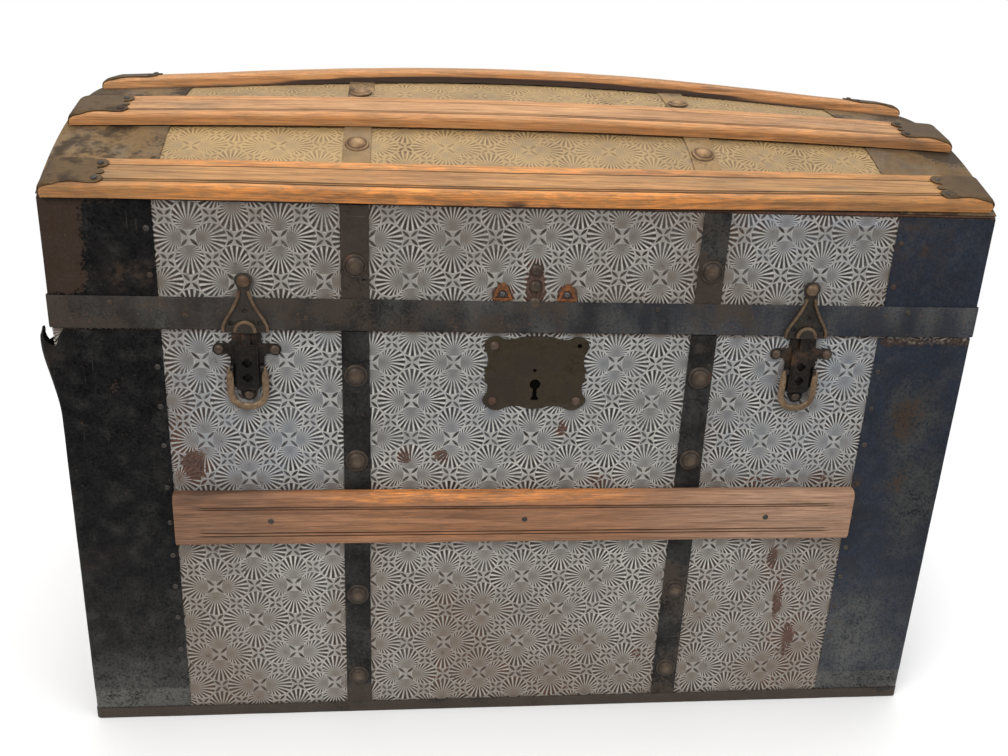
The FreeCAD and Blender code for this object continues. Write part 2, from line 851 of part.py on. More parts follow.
def catch(side, sign):
    """The pressed catch on the lid, with an arch that is open below."""
    foot = lid_low - S.catch_foot_drop
    top = foot + S.catch_height
    arch_z = foot + S.arch_wall * 1.6
    head_low = top - 2 * S.catch_head
    right_side = [
        (S.catch_half_width, foot),
        (S.catch_half_width, foot + S.arch_wall * 2),
        (S.catch_neck, head_low - S.catch_neck),
        (S.catch_neck, head_low),
        (S.catch_head, head_low + S.catch_neck),
        (S.catch_head, top - S.catch_neck),
        (S.catch_neck, top),
    ]
    points = right_side + [(-x, z) for x, z in reversed(right_side)]
    body = prism(
        f"{side}_catch_body", "XZ_Plane", points, S.draw_plate, base=(S.draw_middle * sign, -band_y, 0)
    )
    arch = S.arch_radius
    crown = [(-arch, foot), (arch, foot), (arch, arch_z)]
    crown += [(arch * c, arch_z + arch * s) for c, s in ((0.866, 0.5), (0.5, 0.866))]
    crown += [(0, arch_z + arch)]
    crown += [(-arch * c, arch_z + arch * s) for c, s in ((0.5, 0.866), (0.866, 0.5))]
    crown += [(-arch, arch_z)]
    pad(body, outline(body, f"{side}_arch", "XZ_Plane", crown), S.arch_reach)
    inner = S.arch_radius - S.arch_wall
    below = foot - S.arch_wall
    hollow = [(-inner, below), (inner, below), (inner, arch_z)]
    hollow += [(inner * c, arch_z + inner * s) for c, s in ((0.866, 0.5), (0.5, 0.866))]
    hollow += [(0, arch_z + inner)]
    hollow += [(-inner * c, arch_z + inner * s) for c, s in ((0.5, 0.866), (0.866, 0.5))]
    hollow += [(-inner, arch_z)]
    sketch = outline(body, f"{side}_arch_hollow", "XZ_Plane", hollow)
    pocket(body, sketch, S.arch_reach - S.arch_wall, reverse=True)
    keep(f"{side}_catch", body)


def draw_rivets():
    """Rivets of the lock plate and the draw bolt bases; rivets of the catches and the hasp."""
    edge = float(S.body_height)
    plate = -float(half_depth) - float(S.draw_plate)
    ear = float(S.ear_reach) - 1.5 * float(S.rivet_radius)
    level = edge - float(S.draw_top_drop) - float(S.ear_height) / 2
    foot = edge - float(S.draw_top_drop) - float(S.draw_height) + 1.4 * float(S.rivet_radius)
    low_rivets = []
    high_rivets = []
    for sign in (-1, 1):
        middle = float(S.draw_middle) * sign
        for x, z in ((middle - ear, level), (middle + ear, level), (middle, foot)):
            low_rivets.append(rivet(Vector(x, plate, z), FRONT))
        crown = float(lid_low) - float(S.catch_foot_drop) + float(S.catch_height) - float(S.catch_head)
        face = -float(band_y) - float(S.draw_plate)
        high_rivets.append(rivet(Vector(middle, face, crown), FRONT))
    middle = float(S.lock_middle)
    across = float(S.lock_width) / 2 - 1.4 * float(S.lock_corner)
    lock_top = edge - float(S.lock_drop) - 1.4 * float(S.lock_corner)
    lock_low = edge - float(S.lock_drop) - float(S.lock_height) + 1.4 * float(S.lock_corner)
    face = -float(half_depth) - float(S.lock_plate_thickness)
    for x, z in ((-across, lock_top), (-across, lock_low), (across, lock_low)):
        low_rivets.append(rivet(Vector(middle + x, face, z), FRONT))
    keep("body_rivets", feature("body_rivet_heads", Part.makeCompound(low_rivets)))
    start = float(lid_low) + float(S.band_width) + 1.2 * float(S.rivet_radius)
    tin = -float(half_depth)
    for number in range(3):
        z = start + number * float(S.hasp_pitch)
        high_rivets.append(rivet(Vector(0, tin, z), FRONT))
    keep("lid_rivets", feature("lid_rivet_heads", Part.makeCompound(high_rivets)))
    thick = S.draw_plate
    low = lid_low + S.band_width + S.fold_gap
    clips = [
        block(
            f"clip_{end}",
            (S.clip_middle * sign - 3 * thick, S.clip_middle * sign + 3 * thick),
            (-half_depth - thick, -half_depth),
            (low, low + 4 * thick),
        )
        for end, sign in ENDS
    ]
    keep("hasp_clips", group("clips", clips))


# --------------------------------------------------------------------- lid


def lid_walls():
    """Two long walls with bevelled tops, and two ends shaped to the dome."""
    end_x = float(half_length)
    outer_top = dome_height_at(end_x, float(wood_y), float(room_dome)) - float(S.fold_gap)
    inner_top = dome_height_at(end_x, float(room_y), float(room_dome)) - float(S.fold_gap)
    for side, sign in SIDES:
        points = [
            (wood_y * sign, lid_low),
            (wood_y * sign, Named(0) + outer_top),
            (room_y * sign, Named(0) + inner_top),
            (room_y * sign, lid_low),
        ]
        rim = [Vector(-float(wood_x), float(y), float(z)) for y, z in points + points[:1]]
        wall = Part.Face(Part.makePolygon(rim)).extrude(Vector(2 * float(wood_x), 0, 0))
        keep(f"lid_{side}_board", feature(f"lid_{side}_wall", wall))
    low = float(lid_low)
    inset = float(room_y)
    offset = float(room_dome) - float(S.fold_gap)
    for side, sign in ENDS:
        x = -float(wood_x) if sign < 0 else float(room_x)
        rim = [Vector(x, y, dome_height_at(end_x, y, offset)) for y in (-inset, 0, inset)]
        edges = [
            Part.Arc(*rim).toShape(),
            Part.makeLine(rim[2], Vector(x, inset, low)),
            Part.makeLine(Vector(x, inset, low), Vector(x, -inset, low)),
            Part.makeLine(Vector(x, -inset, low), rim[0]),
        ]
        end = Part.Face(Part.Wire(edges)).extrude(Vector(float(S.board), 0, 0))
        keep(f"lid_{side}_end", feature(f"lid_{side}_wall", end))


def dome_height_at(x, y, offset):
    """Height of the offset dome straight above y."""
    radius, centre = dome_arc(x)
    return centre + math.sqrt((radius + offset) ** 2 - y**2)


def dome_skins():
    long = float(wood_x)
    stations = (-long, 0, long)
    edge = float(wood_y)
    count = int(float(S.stave_count))
    joint = float(S.stave_joint)
    width = 2 * edge / count
    staves = [
        dome_sheet(
            stations,
            -edge + number * width + joint / 2,
            -edge + (number + 1) * width - joint / 2,
            float(room_dome),
            float(wood_dome),
        )
        for number in range(count)
    ]
    keep("dome_staves", feature("staves", Part.makeCompound(staves)))
    skin = float(skin_x)
    reach = float(half_depth)
    sheet_metal = dome_sheet((-skin, 0, skin), -reach, reach, -float(S.tin_depth), 0)
    keep("dome_tin", feature("dome_skin", sheet_metal))
    outer = float(half_length)
    inner = outer - float(S.cover_width)
    bands = [
        dome_sheet(
            (sign * inner, sign * (inner + outer) / 2, sign * outer),
            -reach,
            reach,
            float(S.fold_gap),
            float(S.cover_sheet),
        )
        for sign in (-1, 1)
    ]
    keep("dome_end_bands", feature("end_bands", Part.makeCompound(bands)))


def lid_skins():
    """Embossed sheets of the lid's four walls, under the edge of the dome sheet."""
    lap = S.tin_depth + S.fold_gap
    top = spring_z - lap
    walls = [
        block("lid_front_tin", (-wood_x, wood_x), (-half_depth, -wood_y), (lid_low, top)),
        block("lid_back_tin", (-wood_x, wood_x), (wood_y, half_depth), (lid_low, top)),
    ]
    keep("lid_wall_tins", group("lid_tins", walls))
    low = float(lid_low)
    reach = float(half_depth)
    offset = -float(lap)
    ends = []
    for sign in (-1, 1):
        x = float(wood_x) * sign
        end_x = float(half_length)
        rim = [Vector(x, y, dome_height_at(end_x, y, offset)) for y in (-reach, 0, reach)]
        edges = [
            Part.Arc(*rim).toShape(),
            Part.makeLine(rim[2], Vector(x, reach, low)),
            Part.makeLine(Vector(x, reach, low), Vector(x, -reach, low)),
            Part.makeLine(Vector(x, -reach, low), rim[0]),
        ]
        ends.append(Part.Face(Part.Wire(edges)).extrude(Vector(sign * float(S.tin_depth), 0, 0)))
    keep("lid_end_tins", feature("lid_end_sheets", Part.makeCompound(ends)))


def lid_edge_band():
    level = (lid_low, lid_low + S.band_width)
    strips = [
        block("band_front", (-band_x, band_x), (-band_y, -cover_y), level),
        block("band_back", (-band_x, band_x), (cover_y, band_y), level),
        block("band_left", (-band_x, -half_length), (-cover_y, cover_y), level),
        block("band_right", (half_length, band_x), (-cover_y, cover_y), level),
    ]
    keep("lid_band", group("band", strips))


SLATS = (
    ("lid_front_slat", "outer_slat_inset", -1),
    ("lid_second_slat", "inner_slat_inset", -1),
    ("lid_crown_slat", None, 0),
    ("lid_fourth_slat", "inner_slat_inset", 1),
    ("lid_back_slat", "outer_slat_inset", 1),
)


def slat_lift(label):
    """How far each slat's flat back lies off the dome along the length."""
    seat = float(S.strap_thickness) + float(S.fold_gap)
    spring = float(S.crown_spring) if label == "lid_crown_slat" else 0
    reach = float(half_length)
    return lambda x: seat + spring * (1 - (x / reach) ** 2)


def slat_middle(inset, sign):
    if inset is None:
        return 0
    return sign * (float(half_depth) - float(getattr(S, inset)))


def slat_clamp(y, way, end, lift, taper):
    """Sheet folded over one end of a slat: a plate on its face and a flap over its end."""
    middle = way * (end - float(S.clamp_length) / 2)
    out = dome_normal(middle, y)
    along = Vector(0, out.z, -out.y)
    top = float(S.lid_slat_thickness) + float(S.clamp_seat)
    thick = float(S.clamp_sheet)
    seat = dome_point(middle, y, lift(middle))
    flap = end + float(S.clamp_seat)
    sections = []
    for across in (-float(S.lid_slat_width) / 2, float(S.lid_slat_width) / 2):

        def spot(x, height):
            drop = (dome_point(way * x, y, lift(way * x)) - seat).dot(out)
            return Vector(way * x, seat.y, seat.z) + out * (drop + height) + along * across

        face = top + taper * across
        corners = [
            spot(end - float(S.clamp_length), face),
            spot(end - float(S.clamp_length), face + thick),
            spot(flap + thick, face + thick),
            spot(flap + thick, 0),
            spot(flap, 0),
            spot(flap, face),
        ]
        sections.append(Part.makePolygon(corners + corners[:1]))
    return Part.makeLoft(sections, True, True)


def lid_slats():
    end = float(half_length - S.slat_end_inset)
    stations = (-end, -end / 2, 0, end / 2, end)
    clamps = []
    for label, inset, sign in SLATS:
        middle = slat_middle(inset, sign)
        lift = slat_lift(label)
        taper = slat_taper(inset, sign)
        wood = dome_bar(stations, middle, slat_profile(taper), lift)
        keep(label, feature(f"{label}_wood", wood))
        clamps += [slat_clamp(middle, way, end, lift, taper) for way in (-1, 1)]
    keep("slat_clamps", feature("clamps", Part.makeCompound(clamps)))


def lid_straps():
    """Straps on the lid's long walls, and the same straps carried over the dome."""
    top = spring_z - S.tin_depth
    members = straps("lid_strap", lid_low + S.band_width + S.fold_gap, top)
    half = float(S.strap_width) / 2
    reach = float(half_depth) - float(S.tin_depth)
    arcs = []
    for sign in (-1, 1):
        middle = sign * float(S.strap_middle)
        arcs.append(
            dome_sheet(
                (middle - half, middle, middle + half),
                -reach,
                reach,
                float(S.fold_gap),
                float(S.strap_thickness),
            )
        )
    members.append(feature("dome_straps", Part.makeCompound(arcs)))
    keep("lid_straps", group("lid_strap_set", members))


def lid_fasteners():
    strap_x = float(S.strap_middle)
    wall = float(lid_low) + float(S.lid_wall_height) * 0.52
    caps = []
    first = float(half_depth) - float(S.outer_slat_inset)
    second = float(half_depth) - float(S.inner_slat_inset)
    lift = float(S.strap_thickness) + float(S.fold_gap)
    for x in (-strap_x, strap_x):
        caps.append(strap_cap(Vector(x, -float(strap_y), wall), FRONT))
        caps.append(strap_cap(Vector(x, float(strap_y), wall), BACK))
        for y in (-(first + second) / 2, -second / 2, second / 2, (first + second) / 2):
            caps.append(strap_cap(dome_point(x, y, lift), dome_up(x, y)))
    keep("lid_strap_caps", feature("lid_caps", Part.makeCompound(caps)))

    band_top = float(lid_low) + float(S.band_width)
    rise = float(spring_z) - band_top
    nails = cover_nails([band_top + rise * 0.22, band_top + rise * 0.7])
    level = band_top - 2 * float(S.nail_radius)
    long = float(half_length)
    for x in (-0.876 * long, -0.306 * long, 0.269 * long, 0.837 * long):
        nails.append(nail(Vector(x, -float(band_y), level), FRONT))
        nails.append(nail(Vector(x, float(band_y), level), BACK))
    top = float(S.lid_slat_thickness) + float(S.clamp_seat) + float(S.clamp_sheet)
    top += 2 * float(S.fold_gap)
    end = float(half_length - S.slat_end_inset)
    for label, inset, sign in SLATS:
        y = slat_middle(inset, sign)
        spring = slat_lift(label)
        taper = slat_taper(inset, sign)
        for way in (-1, 1):
            for back, share in ((0.86, 0.24), (0.85, -0.30)):
                x = way * (end - back * float(S.clamp_length))
                out = dome_normal(x, y)
                along = Vector(0, out.z, -out.y)
                across = share * float(S.lid_slat_width)
                foot = dome_point(x, y, spring(x) + top + taper * across)
                slope = (spring(x + 1) - spring(x - 1)) / 2
                up = dome_up(x, y) - along * taper - Vector(slope, 0, 0)
                nails.append(nail(foot + along * across, up))
    keep("lid_nails", feature("lid_nail_heads", Part.makeCompound(nails)))


# ------------------------------------------------------------------ hinges

pin_y = band_y + S.knuckle_radius + S.slide_gap
pin_z = S.body_height + S.seam_gap / 2


def hinge_half(name, middle, low, high, lid_side):
    """A leaf and its knuckles: two outer ones on the body, the middle one on the lid."""
    half = S.hinge_width / 2
    third = S.hinge_width / 3
    if lid_side:
        spans = [(middle - third / 2 + S.knuckle_gap, middle + third / 2 - S.knuckle_gap)]
        back = band_y
        web_z = (pin_z, low + S.knuckle_radius)
    else:
        spans = [(middle - half, middle - third / 2), (middle + third / 2, middle + half)]
        back = half_depth
        web_z = (high - S.knuckle_radius, pin_z)
    leaf_x = (middle - half, middle + half)
    members = [block(f"{name}_leaf", leaf_x, (back, back + S.hinge_leaf), (low, high))]
    for number, (start, finish) in enumerate(spans):
        members.append(block(f"{name}_web{number}", (start, finish), (back, pin_y), web_z))
        centre = (start, pin_y, pin_z)
        name_knuckle = f"{name}_knuckle{number}"
        members.append(rod(name_knuckle, S.knuckle_radius, finish - start, centre, ABOUT_X))
    bore = rod(
        f"{name}_bore",
        S.hinge_pin_radius + S.pin_play,
        2 * S.hinge_width,
        (middle - S.hinge_width, pin_y, pin_z),
        ABOUT_X,
    )
    return cut(name, fuse(f"{name}_blank", members), bore)


def hinges():
    body_leaves = []
    lid_leaves = []
    pins = []
    edge = S.body_height - S.knuckle_radius
    lid_edge = lid_low + S.knuckle_radius
    for number, share in enumerate((-1, 0, 1)):
        middle = S.hinge_middle * share
        leaf_low = edge - S.hinge_leaf_height
        leaf_high = lid_edge + S.hinge_leaf_height
        body_leaves.append(hinge_half(f"body_hinge{number}", middle, leaf_low, edge, False))
        lid_leaves.append(hinge_half(f"lid_hinge{number}", middle, lid_edge, leaf_high, True))
        start = (middle - S.hinge_width / 2 - S.hinge_leaf, pin_y, pin_z)
        length = S.hinge_width + 2 * S.hinge_leaf
        pins.append(rod(f"pin{number}", S.hinge_pin_radius, length, start, ABOUT_X))
    keep("hinge_body_leaves", group("body_leaves", body_leaves))
    keep("hinge_lid_leaves", group("lid_leaves", lid_leaves))
    keep("hinge_pins", group("pins", pins))


# ----------------------------------------------------------------- handles


def handles():
    """A bowed leather strap on each end, held by a folded cap at each of its ends."""
    skin = float(skin_x) + float(S.slide_gap)
    thick = float(S.leather)
    reach = float(S.handle_reach)
    flat = reach - float(S.handle_flat)
    bow = float(S.handle_bow)
    low = float(S.handle_level) - float(S.handle_width) / 2
    caps = []
    for side, sign in ENDS:
        near, far = skin * sign, (skin + thick) * sign
        edges = [
            Part.makeLine(Vector(near, -reach, low), Vector(near, -flat, low)),
            Part.Arc(
                Vector(near, -flat, low), Vector(near + sign * bow, 0, low), Vector(near, flat, low)
            ).toShape(),
            Part.makeLine(Vector(near, flat, low), Vector(near, reach, low)),
            Part.makeLine(Vector(near, reach, low), Vector(far, reach, low)),
            Part.makeLine(Vector(far, reach, low), Vector(far, flat, low)),
            Part.Arc(
                Vector(far, flat, low), Vector(far + sign * bow, 0, low), Vector(far, -flat, low)
            ).toShape(),
            Part.makeLine(Vector(far, -flat, low), Vector(far, -reach, low)),
            Part.makeLine(Vector(far, -reach, low), Vector(near, -reach, low)),
        ]
        strap = Part.Face(Part.Wire(edges)).extrude(Vector(0, 0, float(S.handle_width)))
        keep(f"{side}_handle", feature(f"{side}_handle_strap", strap))
        for number, way in enumerate((-1, 1)):
            caps.append(handle_cap(f"{side}_cap{number}", sign, way))
    keep("handle_caps", group("caps", caps))


def handle_cap(name, sign, way):
    """A sheet cap folded over one flat end of the leather."""
    room = S.leather + 2 * S.slide_gap
    outer = skin_x + room + S.handle_cap_wall
    start = S.handle_reach - S.handle_cap_length
    finish = S.handle_reach + S.slide_gap + S.handle_cap_wall
    wide = S.handle_cap_width / 2
    inner = S.handle_width / 2 + S.slide_gap
    x = (skin_x, outer) if sign > 0 else (-outer, -skin_x)
    x_room = (skin_x, skin_x + room) if sign > 0 else (-skin_x - room, -skin_x)
    y = (start, finish) if way > 0 else (-finish, -start)
    y_room = (start, S.handle_reach + S.slide_gap)
    y_room = y_room if way > 0 else (-y_room[1], -y_room[0])
    level = S.handle_level
    blank = block(f"{name}_blank", x, y, (level - wide, level + wide))
    hollow = block(f"{name}_room", x_room, y_room, (level - inner, level + inner))
    return cut(name, blank, hollow)


# ------------------------------------------------------------------ inside


def inside_pieces():
    """Tray cleats, and the paper lining of the body and the lid."""
    paper = S.lining_sheet
    inner_x = room_x - paper
    inner_y = room_y - paper
    cleat_z = (S.cleat_level - S.cleat_section, S.cleat_level)
    cleats = [
        block("cleat_left", (-inner_x, -inner_x + S.cleat_section), (-inner_y, inner_y), cleat_z),
        block("cleat_right", (inner_x - S.cleat_section, inner_x), (-inner_y, inner_y), cleat_z),
    ]
    keep("tray_cleats", group("cleats", cleats))

    wall_z = (floor_top + paper, S.body_height)
    level = S.body_height - S.key_drop
    half_case = S.case_width / 2
    hole = block(
        "lining_hole",
        (S.lock_middle - half_case - paper, S.lock_middle + half_case + paper),
        (-room_y - S.board, -inner_y + S.board),
        (level - S.case_height / 2 - paper, level + S.case_height / 2 + paper),
    )
    front = block("lining_front_blank", (-room_x, room_x), (-room_y, -inner_y), wall_z)
    sheets = [
        cut("lining_front", front, hole),
        block("lining_back", (-room_x, room_x), (inner_y, room_y), wall_z),
        block("lining_left", (-room_x, -inner_x), (-inner_y, inner_y), wall_z),
        block("lining_right", (inner_x, room_x), (-inner_y, inner_y), wall_z),
        block("lining_floor", (-room_x, room_x), (-room_y, room_y), (floor_top, floor_top + paper)),
    ]
    keep("body_lining", group("lining", sheets))

    long = float(room_x)
    outer = room_dome - S.curve_gap
    lid_top = Named(dome_height_at(float(half_length), float(room_y), float(room_dome))) - 4 * paper
    reach = float(room_y - S.stave_thickness / 2)
    under = dome_sheet((-long, 0, long), -reach, reach, float(outer - paper), float(outer))
    lid_sheets = [
        block("lid_lining_front", (-room_x, room_x), (-room_y, -inner_y), (lid_low, lid_top)),
        block("lid_lining_back", (-room_x, room_x), (inner_y, room_y), (lid_low, lid_top)),
        block("lid_lining_left", (-room_x, -inner_x), (-inner_y, inner_y), (lid_low, lid_top)),
        block("lid_lining_right", (inner_x, room_x), (-inner_y, inner_y), (lid_low, lid_top)),
        feature("lid_lining_dome", under),
    ]
    keep("lid_lining", group("lid_lining_set", lid_sheets))


# ---------------------------------------------------------------- assembly


def build():
    body_boards()
    base_pieces()
    body_skins()
    corner_covers("body_cover", "body_corner_covers", S.binding_lift + S.binding_height, S.body_height)
    low = S.binding_lift + S.binding_height
    keep("body_straps", group("body_strap_set", straps("body_strap", low, S.body_height - S.fold_gap)))
    body_slats()
    body_fasteners()
    lock_pieces()
    for side, sign in ENDS:
        draw_bolt(side, sign)
        catch(side, sign)
    draw_rivets()
    lid_walls()
    dome_skins()
    lid_skins()
    corner_covers("lid_cover", "lid_corner_covers", lid_low, spring_z - S.tin_depth)
    lid_edge_band()
    lid_slats()
    lid_straps()
    lid_fasteners()
    hinges()
    handles()
    inside_pieces()


def check():
    """Stops with a plain message if any object failed or any sub-part is unsound."""
    faults = [
        item.Name for item in doc.Objects if "Invalid" in item.State or "Error" in item.State
    ]
    if faults:
        raise RuntimeError(f"these objects failed: {faults}")
    for label, item in pieces.items():
        if item.Shape.isNull() or not item.Shape.isValid() or not item.Shape.Solids:
            raise RuntimeError(f"{label} has no sound shape")


build()
doc.recompute()
check()
os.makedirs("parts", exist_ok=True)
for label, item in sorted(pieces.items()):
    item.Shape.exportStep(f"parts/{label}.step")
print(len(pieces), "sub-parts")
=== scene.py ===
"""Dresses the dome top trunk. Metres, +Z up, +X to the right, the front faces -Y."""

import itertools
import math

import bmesh
import bpy
import numpy as np
from mathutils import Matrix, Vector


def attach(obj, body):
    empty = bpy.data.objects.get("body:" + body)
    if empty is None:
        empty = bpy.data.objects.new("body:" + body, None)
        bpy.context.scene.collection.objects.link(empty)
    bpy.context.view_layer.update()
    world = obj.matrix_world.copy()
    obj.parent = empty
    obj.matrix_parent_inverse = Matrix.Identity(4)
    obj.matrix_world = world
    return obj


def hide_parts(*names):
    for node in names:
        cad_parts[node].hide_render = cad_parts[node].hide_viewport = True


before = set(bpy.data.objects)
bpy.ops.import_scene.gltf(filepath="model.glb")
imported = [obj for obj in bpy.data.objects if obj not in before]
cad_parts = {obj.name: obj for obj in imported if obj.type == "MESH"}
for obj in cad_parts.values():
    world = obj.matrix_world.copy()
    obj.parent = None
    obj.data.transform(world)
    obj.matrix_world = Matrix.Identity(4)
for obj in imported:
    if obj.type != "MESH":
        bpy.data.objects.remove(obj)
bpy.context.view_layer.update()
scene = bpy.context.scene

# Shared planes of the trunk
HALF_LENGTH = 0.432
HALF_DEPTH = 0.238
SKIN_X = 0.431
COVER_Y = 0.239
BAND_X = 0.4335
BAND_Y = 0.2405
BODY_TOP = 0.423
LID_LOW = 0.424
BAND_TOP = 0.454
SPRING = 0.541
SHEET_FOOT = 0.008
BINDING_TOP = 0.0124
LID_SHEET_TOP = 0.5394
DOME_RISE = 0.068
DOME_CROWN = 0.012
DOME_SWELL = 0.009
COVER_WIDTH = 0.095
COVER_EDGE = HALF_LENGTH - COVER_WIDTH
STRAP_X = 0.1638
STRAP_HALF = 0.0127
STRAP_THICK = 0.0014
SLAT_LOW = 0.206
SLAT_HIGH = 0.262
LOCK_X = 0.0045
KEY_LEVEL = 0.3722
DRAW_X = 0.262
PIVOT_LEVEL = 0.388
HANDLE_LEVEL = 0.292

# Slats of the dome, with rounded ends
SLAT_END = 0.4265
SLAT_ROUND = 0.012
SLAT_HALF = 0.022
SLAT_TALL = 0.012
SLAT_SEAT = 0.0015
EDGE_TAPER = 2 * 0.003 / 0.044


# ------------------------------------------------------ numbers and noise


class Wire:
    """A number inside a node tree, with plain arithmetic."""

    __array_ufunc__ = None  # an array leaves the sum to the wire

    def __init__(self, tree, socket):
        self.tree = tree
        self.socket = socket

    def __add__(self, other):
        return combine("ADD", self, other)

    __radd__ = __add__

    def __sub__(self, other):
        return combine("SUBTRACT", self, other)

    def __rsub__(self, other):
        return combine("SUBTRACT", other, self)

    def __mul__(self, other):
        return combine("MULTIPLY", self, other)

    __rmul__ = __mul__

    def __truediv__(self, other):
        return combine("DIVIDE", self, other)


def wire_in(values):
    return next((value for value in values if isinstance(value, Wire)), None)


def put(tree, value, socket):
    """Feeds a socket from a wire, or sets it to a plain value."""
    if isinstance(value, Wire):
        tree.links.new(value.socket, socket)
    else:
        socket.default_value = value


def combine(operation, *values):
    """A Math node fed with wires and plain numbers."""
    tree = wire_in(values).tree
    node = tree.nodes.new("ShaderNodeMath")
    node.operation = operation
    for socket, value in zip(node.inputs, values):
        put(tree, value, socket)
    return Wire(tree, node.outputs[0])


def either(operation, on_arrays, *values):
    """The same step on arrays for a mesh, or on wires for a finish."""
    if wire_in(values) is None:
        return on_arrays(*values)
    return combine(operation, *values)


def least(a, b):
    return either("MINIMUM", np.minimum, a, b)


def most(a, b):
    return either("MAXIMUM", np.maximum, a, b)


def root(value):
    return either("SQRT", np.sqrt, value)


def size(value):
    return either("ABSOLUTE", np.abs, value)


def turn(up, along):
    return either("ARCTAN2", np.arctan2, up, along)


def fold(value):
    """A triangle wave: 0 at even numbers and 1 at odd ones."""
    if isinstance(value, Wire):
        return combine("PINGPONG", value, 1.0)
    return np.abs((value - 1) % 2 - 1)


def ramp(value, low, high):
    """A smooth step from 0 at low to 1 at high."""
    if not isinstance(value, Wire):
        share = np.clip((value - low) / (high - low), 0, 1)
        return share * share * (3 - 2 * share)
    node = value.tree.nodes.new("ShaderNodeMapRange")
    node.interpolation_type = "SMOOTHSTEP"
    put(value.tree, value, node.inputs["Value"])
    node.inputs["From Min"].default_value = low
    node.inputs["From Max"].default_value = high
    return Wire(value.tree, node.outputs["Result"])


def chance(corner, seed):
    """One repeatable number from 0 to 1 for each whole-number point."""
    i, j, k = (corner[:, axis].astype(np.int64) for axis in range(3))
    mixed = (i * 374761393 + j * 668265263 + k * 2147483647 + seed * 144665) & 0xFFFFFFFF
    mixed = ((mixed ^ (mixed >> 13)) * 1274126177) & 0xFFFFFFFF
    mixed = ((mixed ^ (mixed >> 16)) * 2246822519) & 0xFFFFFFFF
    return ((mixed ^ (mixed >> 15)) & 0xFFFF) / 65535.0


def cloud(points, spacing, seed, octaves=3):
    """Smooth noise from -1 to 1 at points, with lumps about spacing apart."""
    points = np.asarray(points, float).reshape(-1, 3)
    total = np.zeros(len(points))
    weight = 1.0
    for octave in range(octaves):
        place = points / spacing * 2**octave + 31.7 * (octave + 1)
        base = np.floor(place)
        part = place - base
        part = part * part * (3 - 2 * part)
        for offset in itertools.product((0, 1), repeat=3):
            share = np.prod(np.where(offset, part, 1 - part), axis=1)
            total += weight * share * (2 * chance(base + offset, seed + octave) - 1)
        weight *= 0.5
    return total


def stacked(*values):
    """Several coordinates of any shapes as one array of places."""
    return np.stack(np.broadcast_arrays(*values), -1)


def swell(x, y):
    """How far the dome stands up under its crown slat."""
    return DOME_SWELL * (np.clip(1 - (x / HALF_LENGTH) ** 2, 0, 1) * np.clip(1 - (y / 0.1) ** 2, 0, 1)) ** 2


def dome_arc(x):
    """Rise and radius of the dome's section at x."""
    rise = DOME_RISE + DOME_CROWN * (1 - (x / HALF_LENGTH) ** 2)
    return rise, (HALF_DEPTH**2 + rise**2) / (2 * rise)


def dome(x, y, out):
    """A point over (x, y) of the dome's face, moved outwards, as an array of places."""
    x, y, out = np.broadcast_arrays(np.asarray(x, float), y, out)
    rise, radius = dome_arc(x)
    angle = np.arcsin(y / radius)
    far = radius + out
    return np.stack([x, far * np.sin(angle), SPRING + rise - radius + far * np.cos(angle) + swell(x, y)], -1)


# ---------------------------------------------------------- mesh building


def mesh_of(name, points, quads, others=()):
    """A mesh from places, an array of quads and a list of larger faces."""
    points = np.asarray(points, np.float32).reshape(-1, 3)
    quads = np.asarray(quads, np.int32).reshape(-1, 4)
    loops = np.concatenate([quads.ravel()] + [np.asarray(face, np.int32) for face in others])
    starts = list(range(0, quads.size, 4))
    place = quads.size
    for face in others:
        starts.append(place)
        place += len(face)
    mesh = bpy.data.meshes.new(name)
    mesh.vertices.add(len(points))
    mesh.vertices.foreach_set("co", points.ravel())
    mesh.loops.add(len(loops))
    mesh.loops.foreach_set("vertex_index", loops)
    mesh.polygons.add(len(starts))
    mesh.polygons.foreach_set("loop_start", np.array(starts, np.int32))
    mesh.update(calc_edges=True)
    mesh.validate()
    return mesh


def joined(name, parts):
    """One mesh from several (points, quads, others) parts."""
    points, quads, others, base = [], [], [], 0
    for part_points, part_quads, part_others in parts:
        part_points = np.asarray(part_points, float).reshape(-1, 3)
        points.append(part_points)
        quads.append(np.asarray(part_quads, int).reshape(-1, 4) + base)
        others += [[index + base for index in face] for face in part_others]
        base += len(part_points)
    return mesh_of(name, np.concatenate(points), np.concatenate(quads), others)


def grid_quads(rows, columns, wrap=False):
    """Quads over a grid of rows and columns, whose last column may join the first."""
    count = columns if wrap else columns - 1
    i, j = np.meshgrid(np.arange(rows - 1), np.arange(count), indexing="ij")
    a = i * columns + j
    b = i * columns + (j + 1) % columns
    return np.stack([a, a + columns, b + columns, b], -1).reshape(-1, 4)


def loft(rings):
    """A closed bar through rings of places, with flat ends."""
    rings = np.asarray(rings, float)
    rows, columns = rings.shape[:2]
    last = (rows - 1) * columns
    ends = [list(range(columns)), list(range(last + columns - 1, last - 1, -1))]
    return rings.reshape(-1, 3), grid_quads(rows, columns, wrap=True), ends


def hoop(rings):
    """A closed bar whose last ring joins the first."""
    rings = np.asarray(rings, float)
    rows, columns = rings.shape[:2]
    quads = grid_quads(rows + 1, columns, wrap=True) % (rows * columns)
    return rings.reshape(-1, 3), quads, []


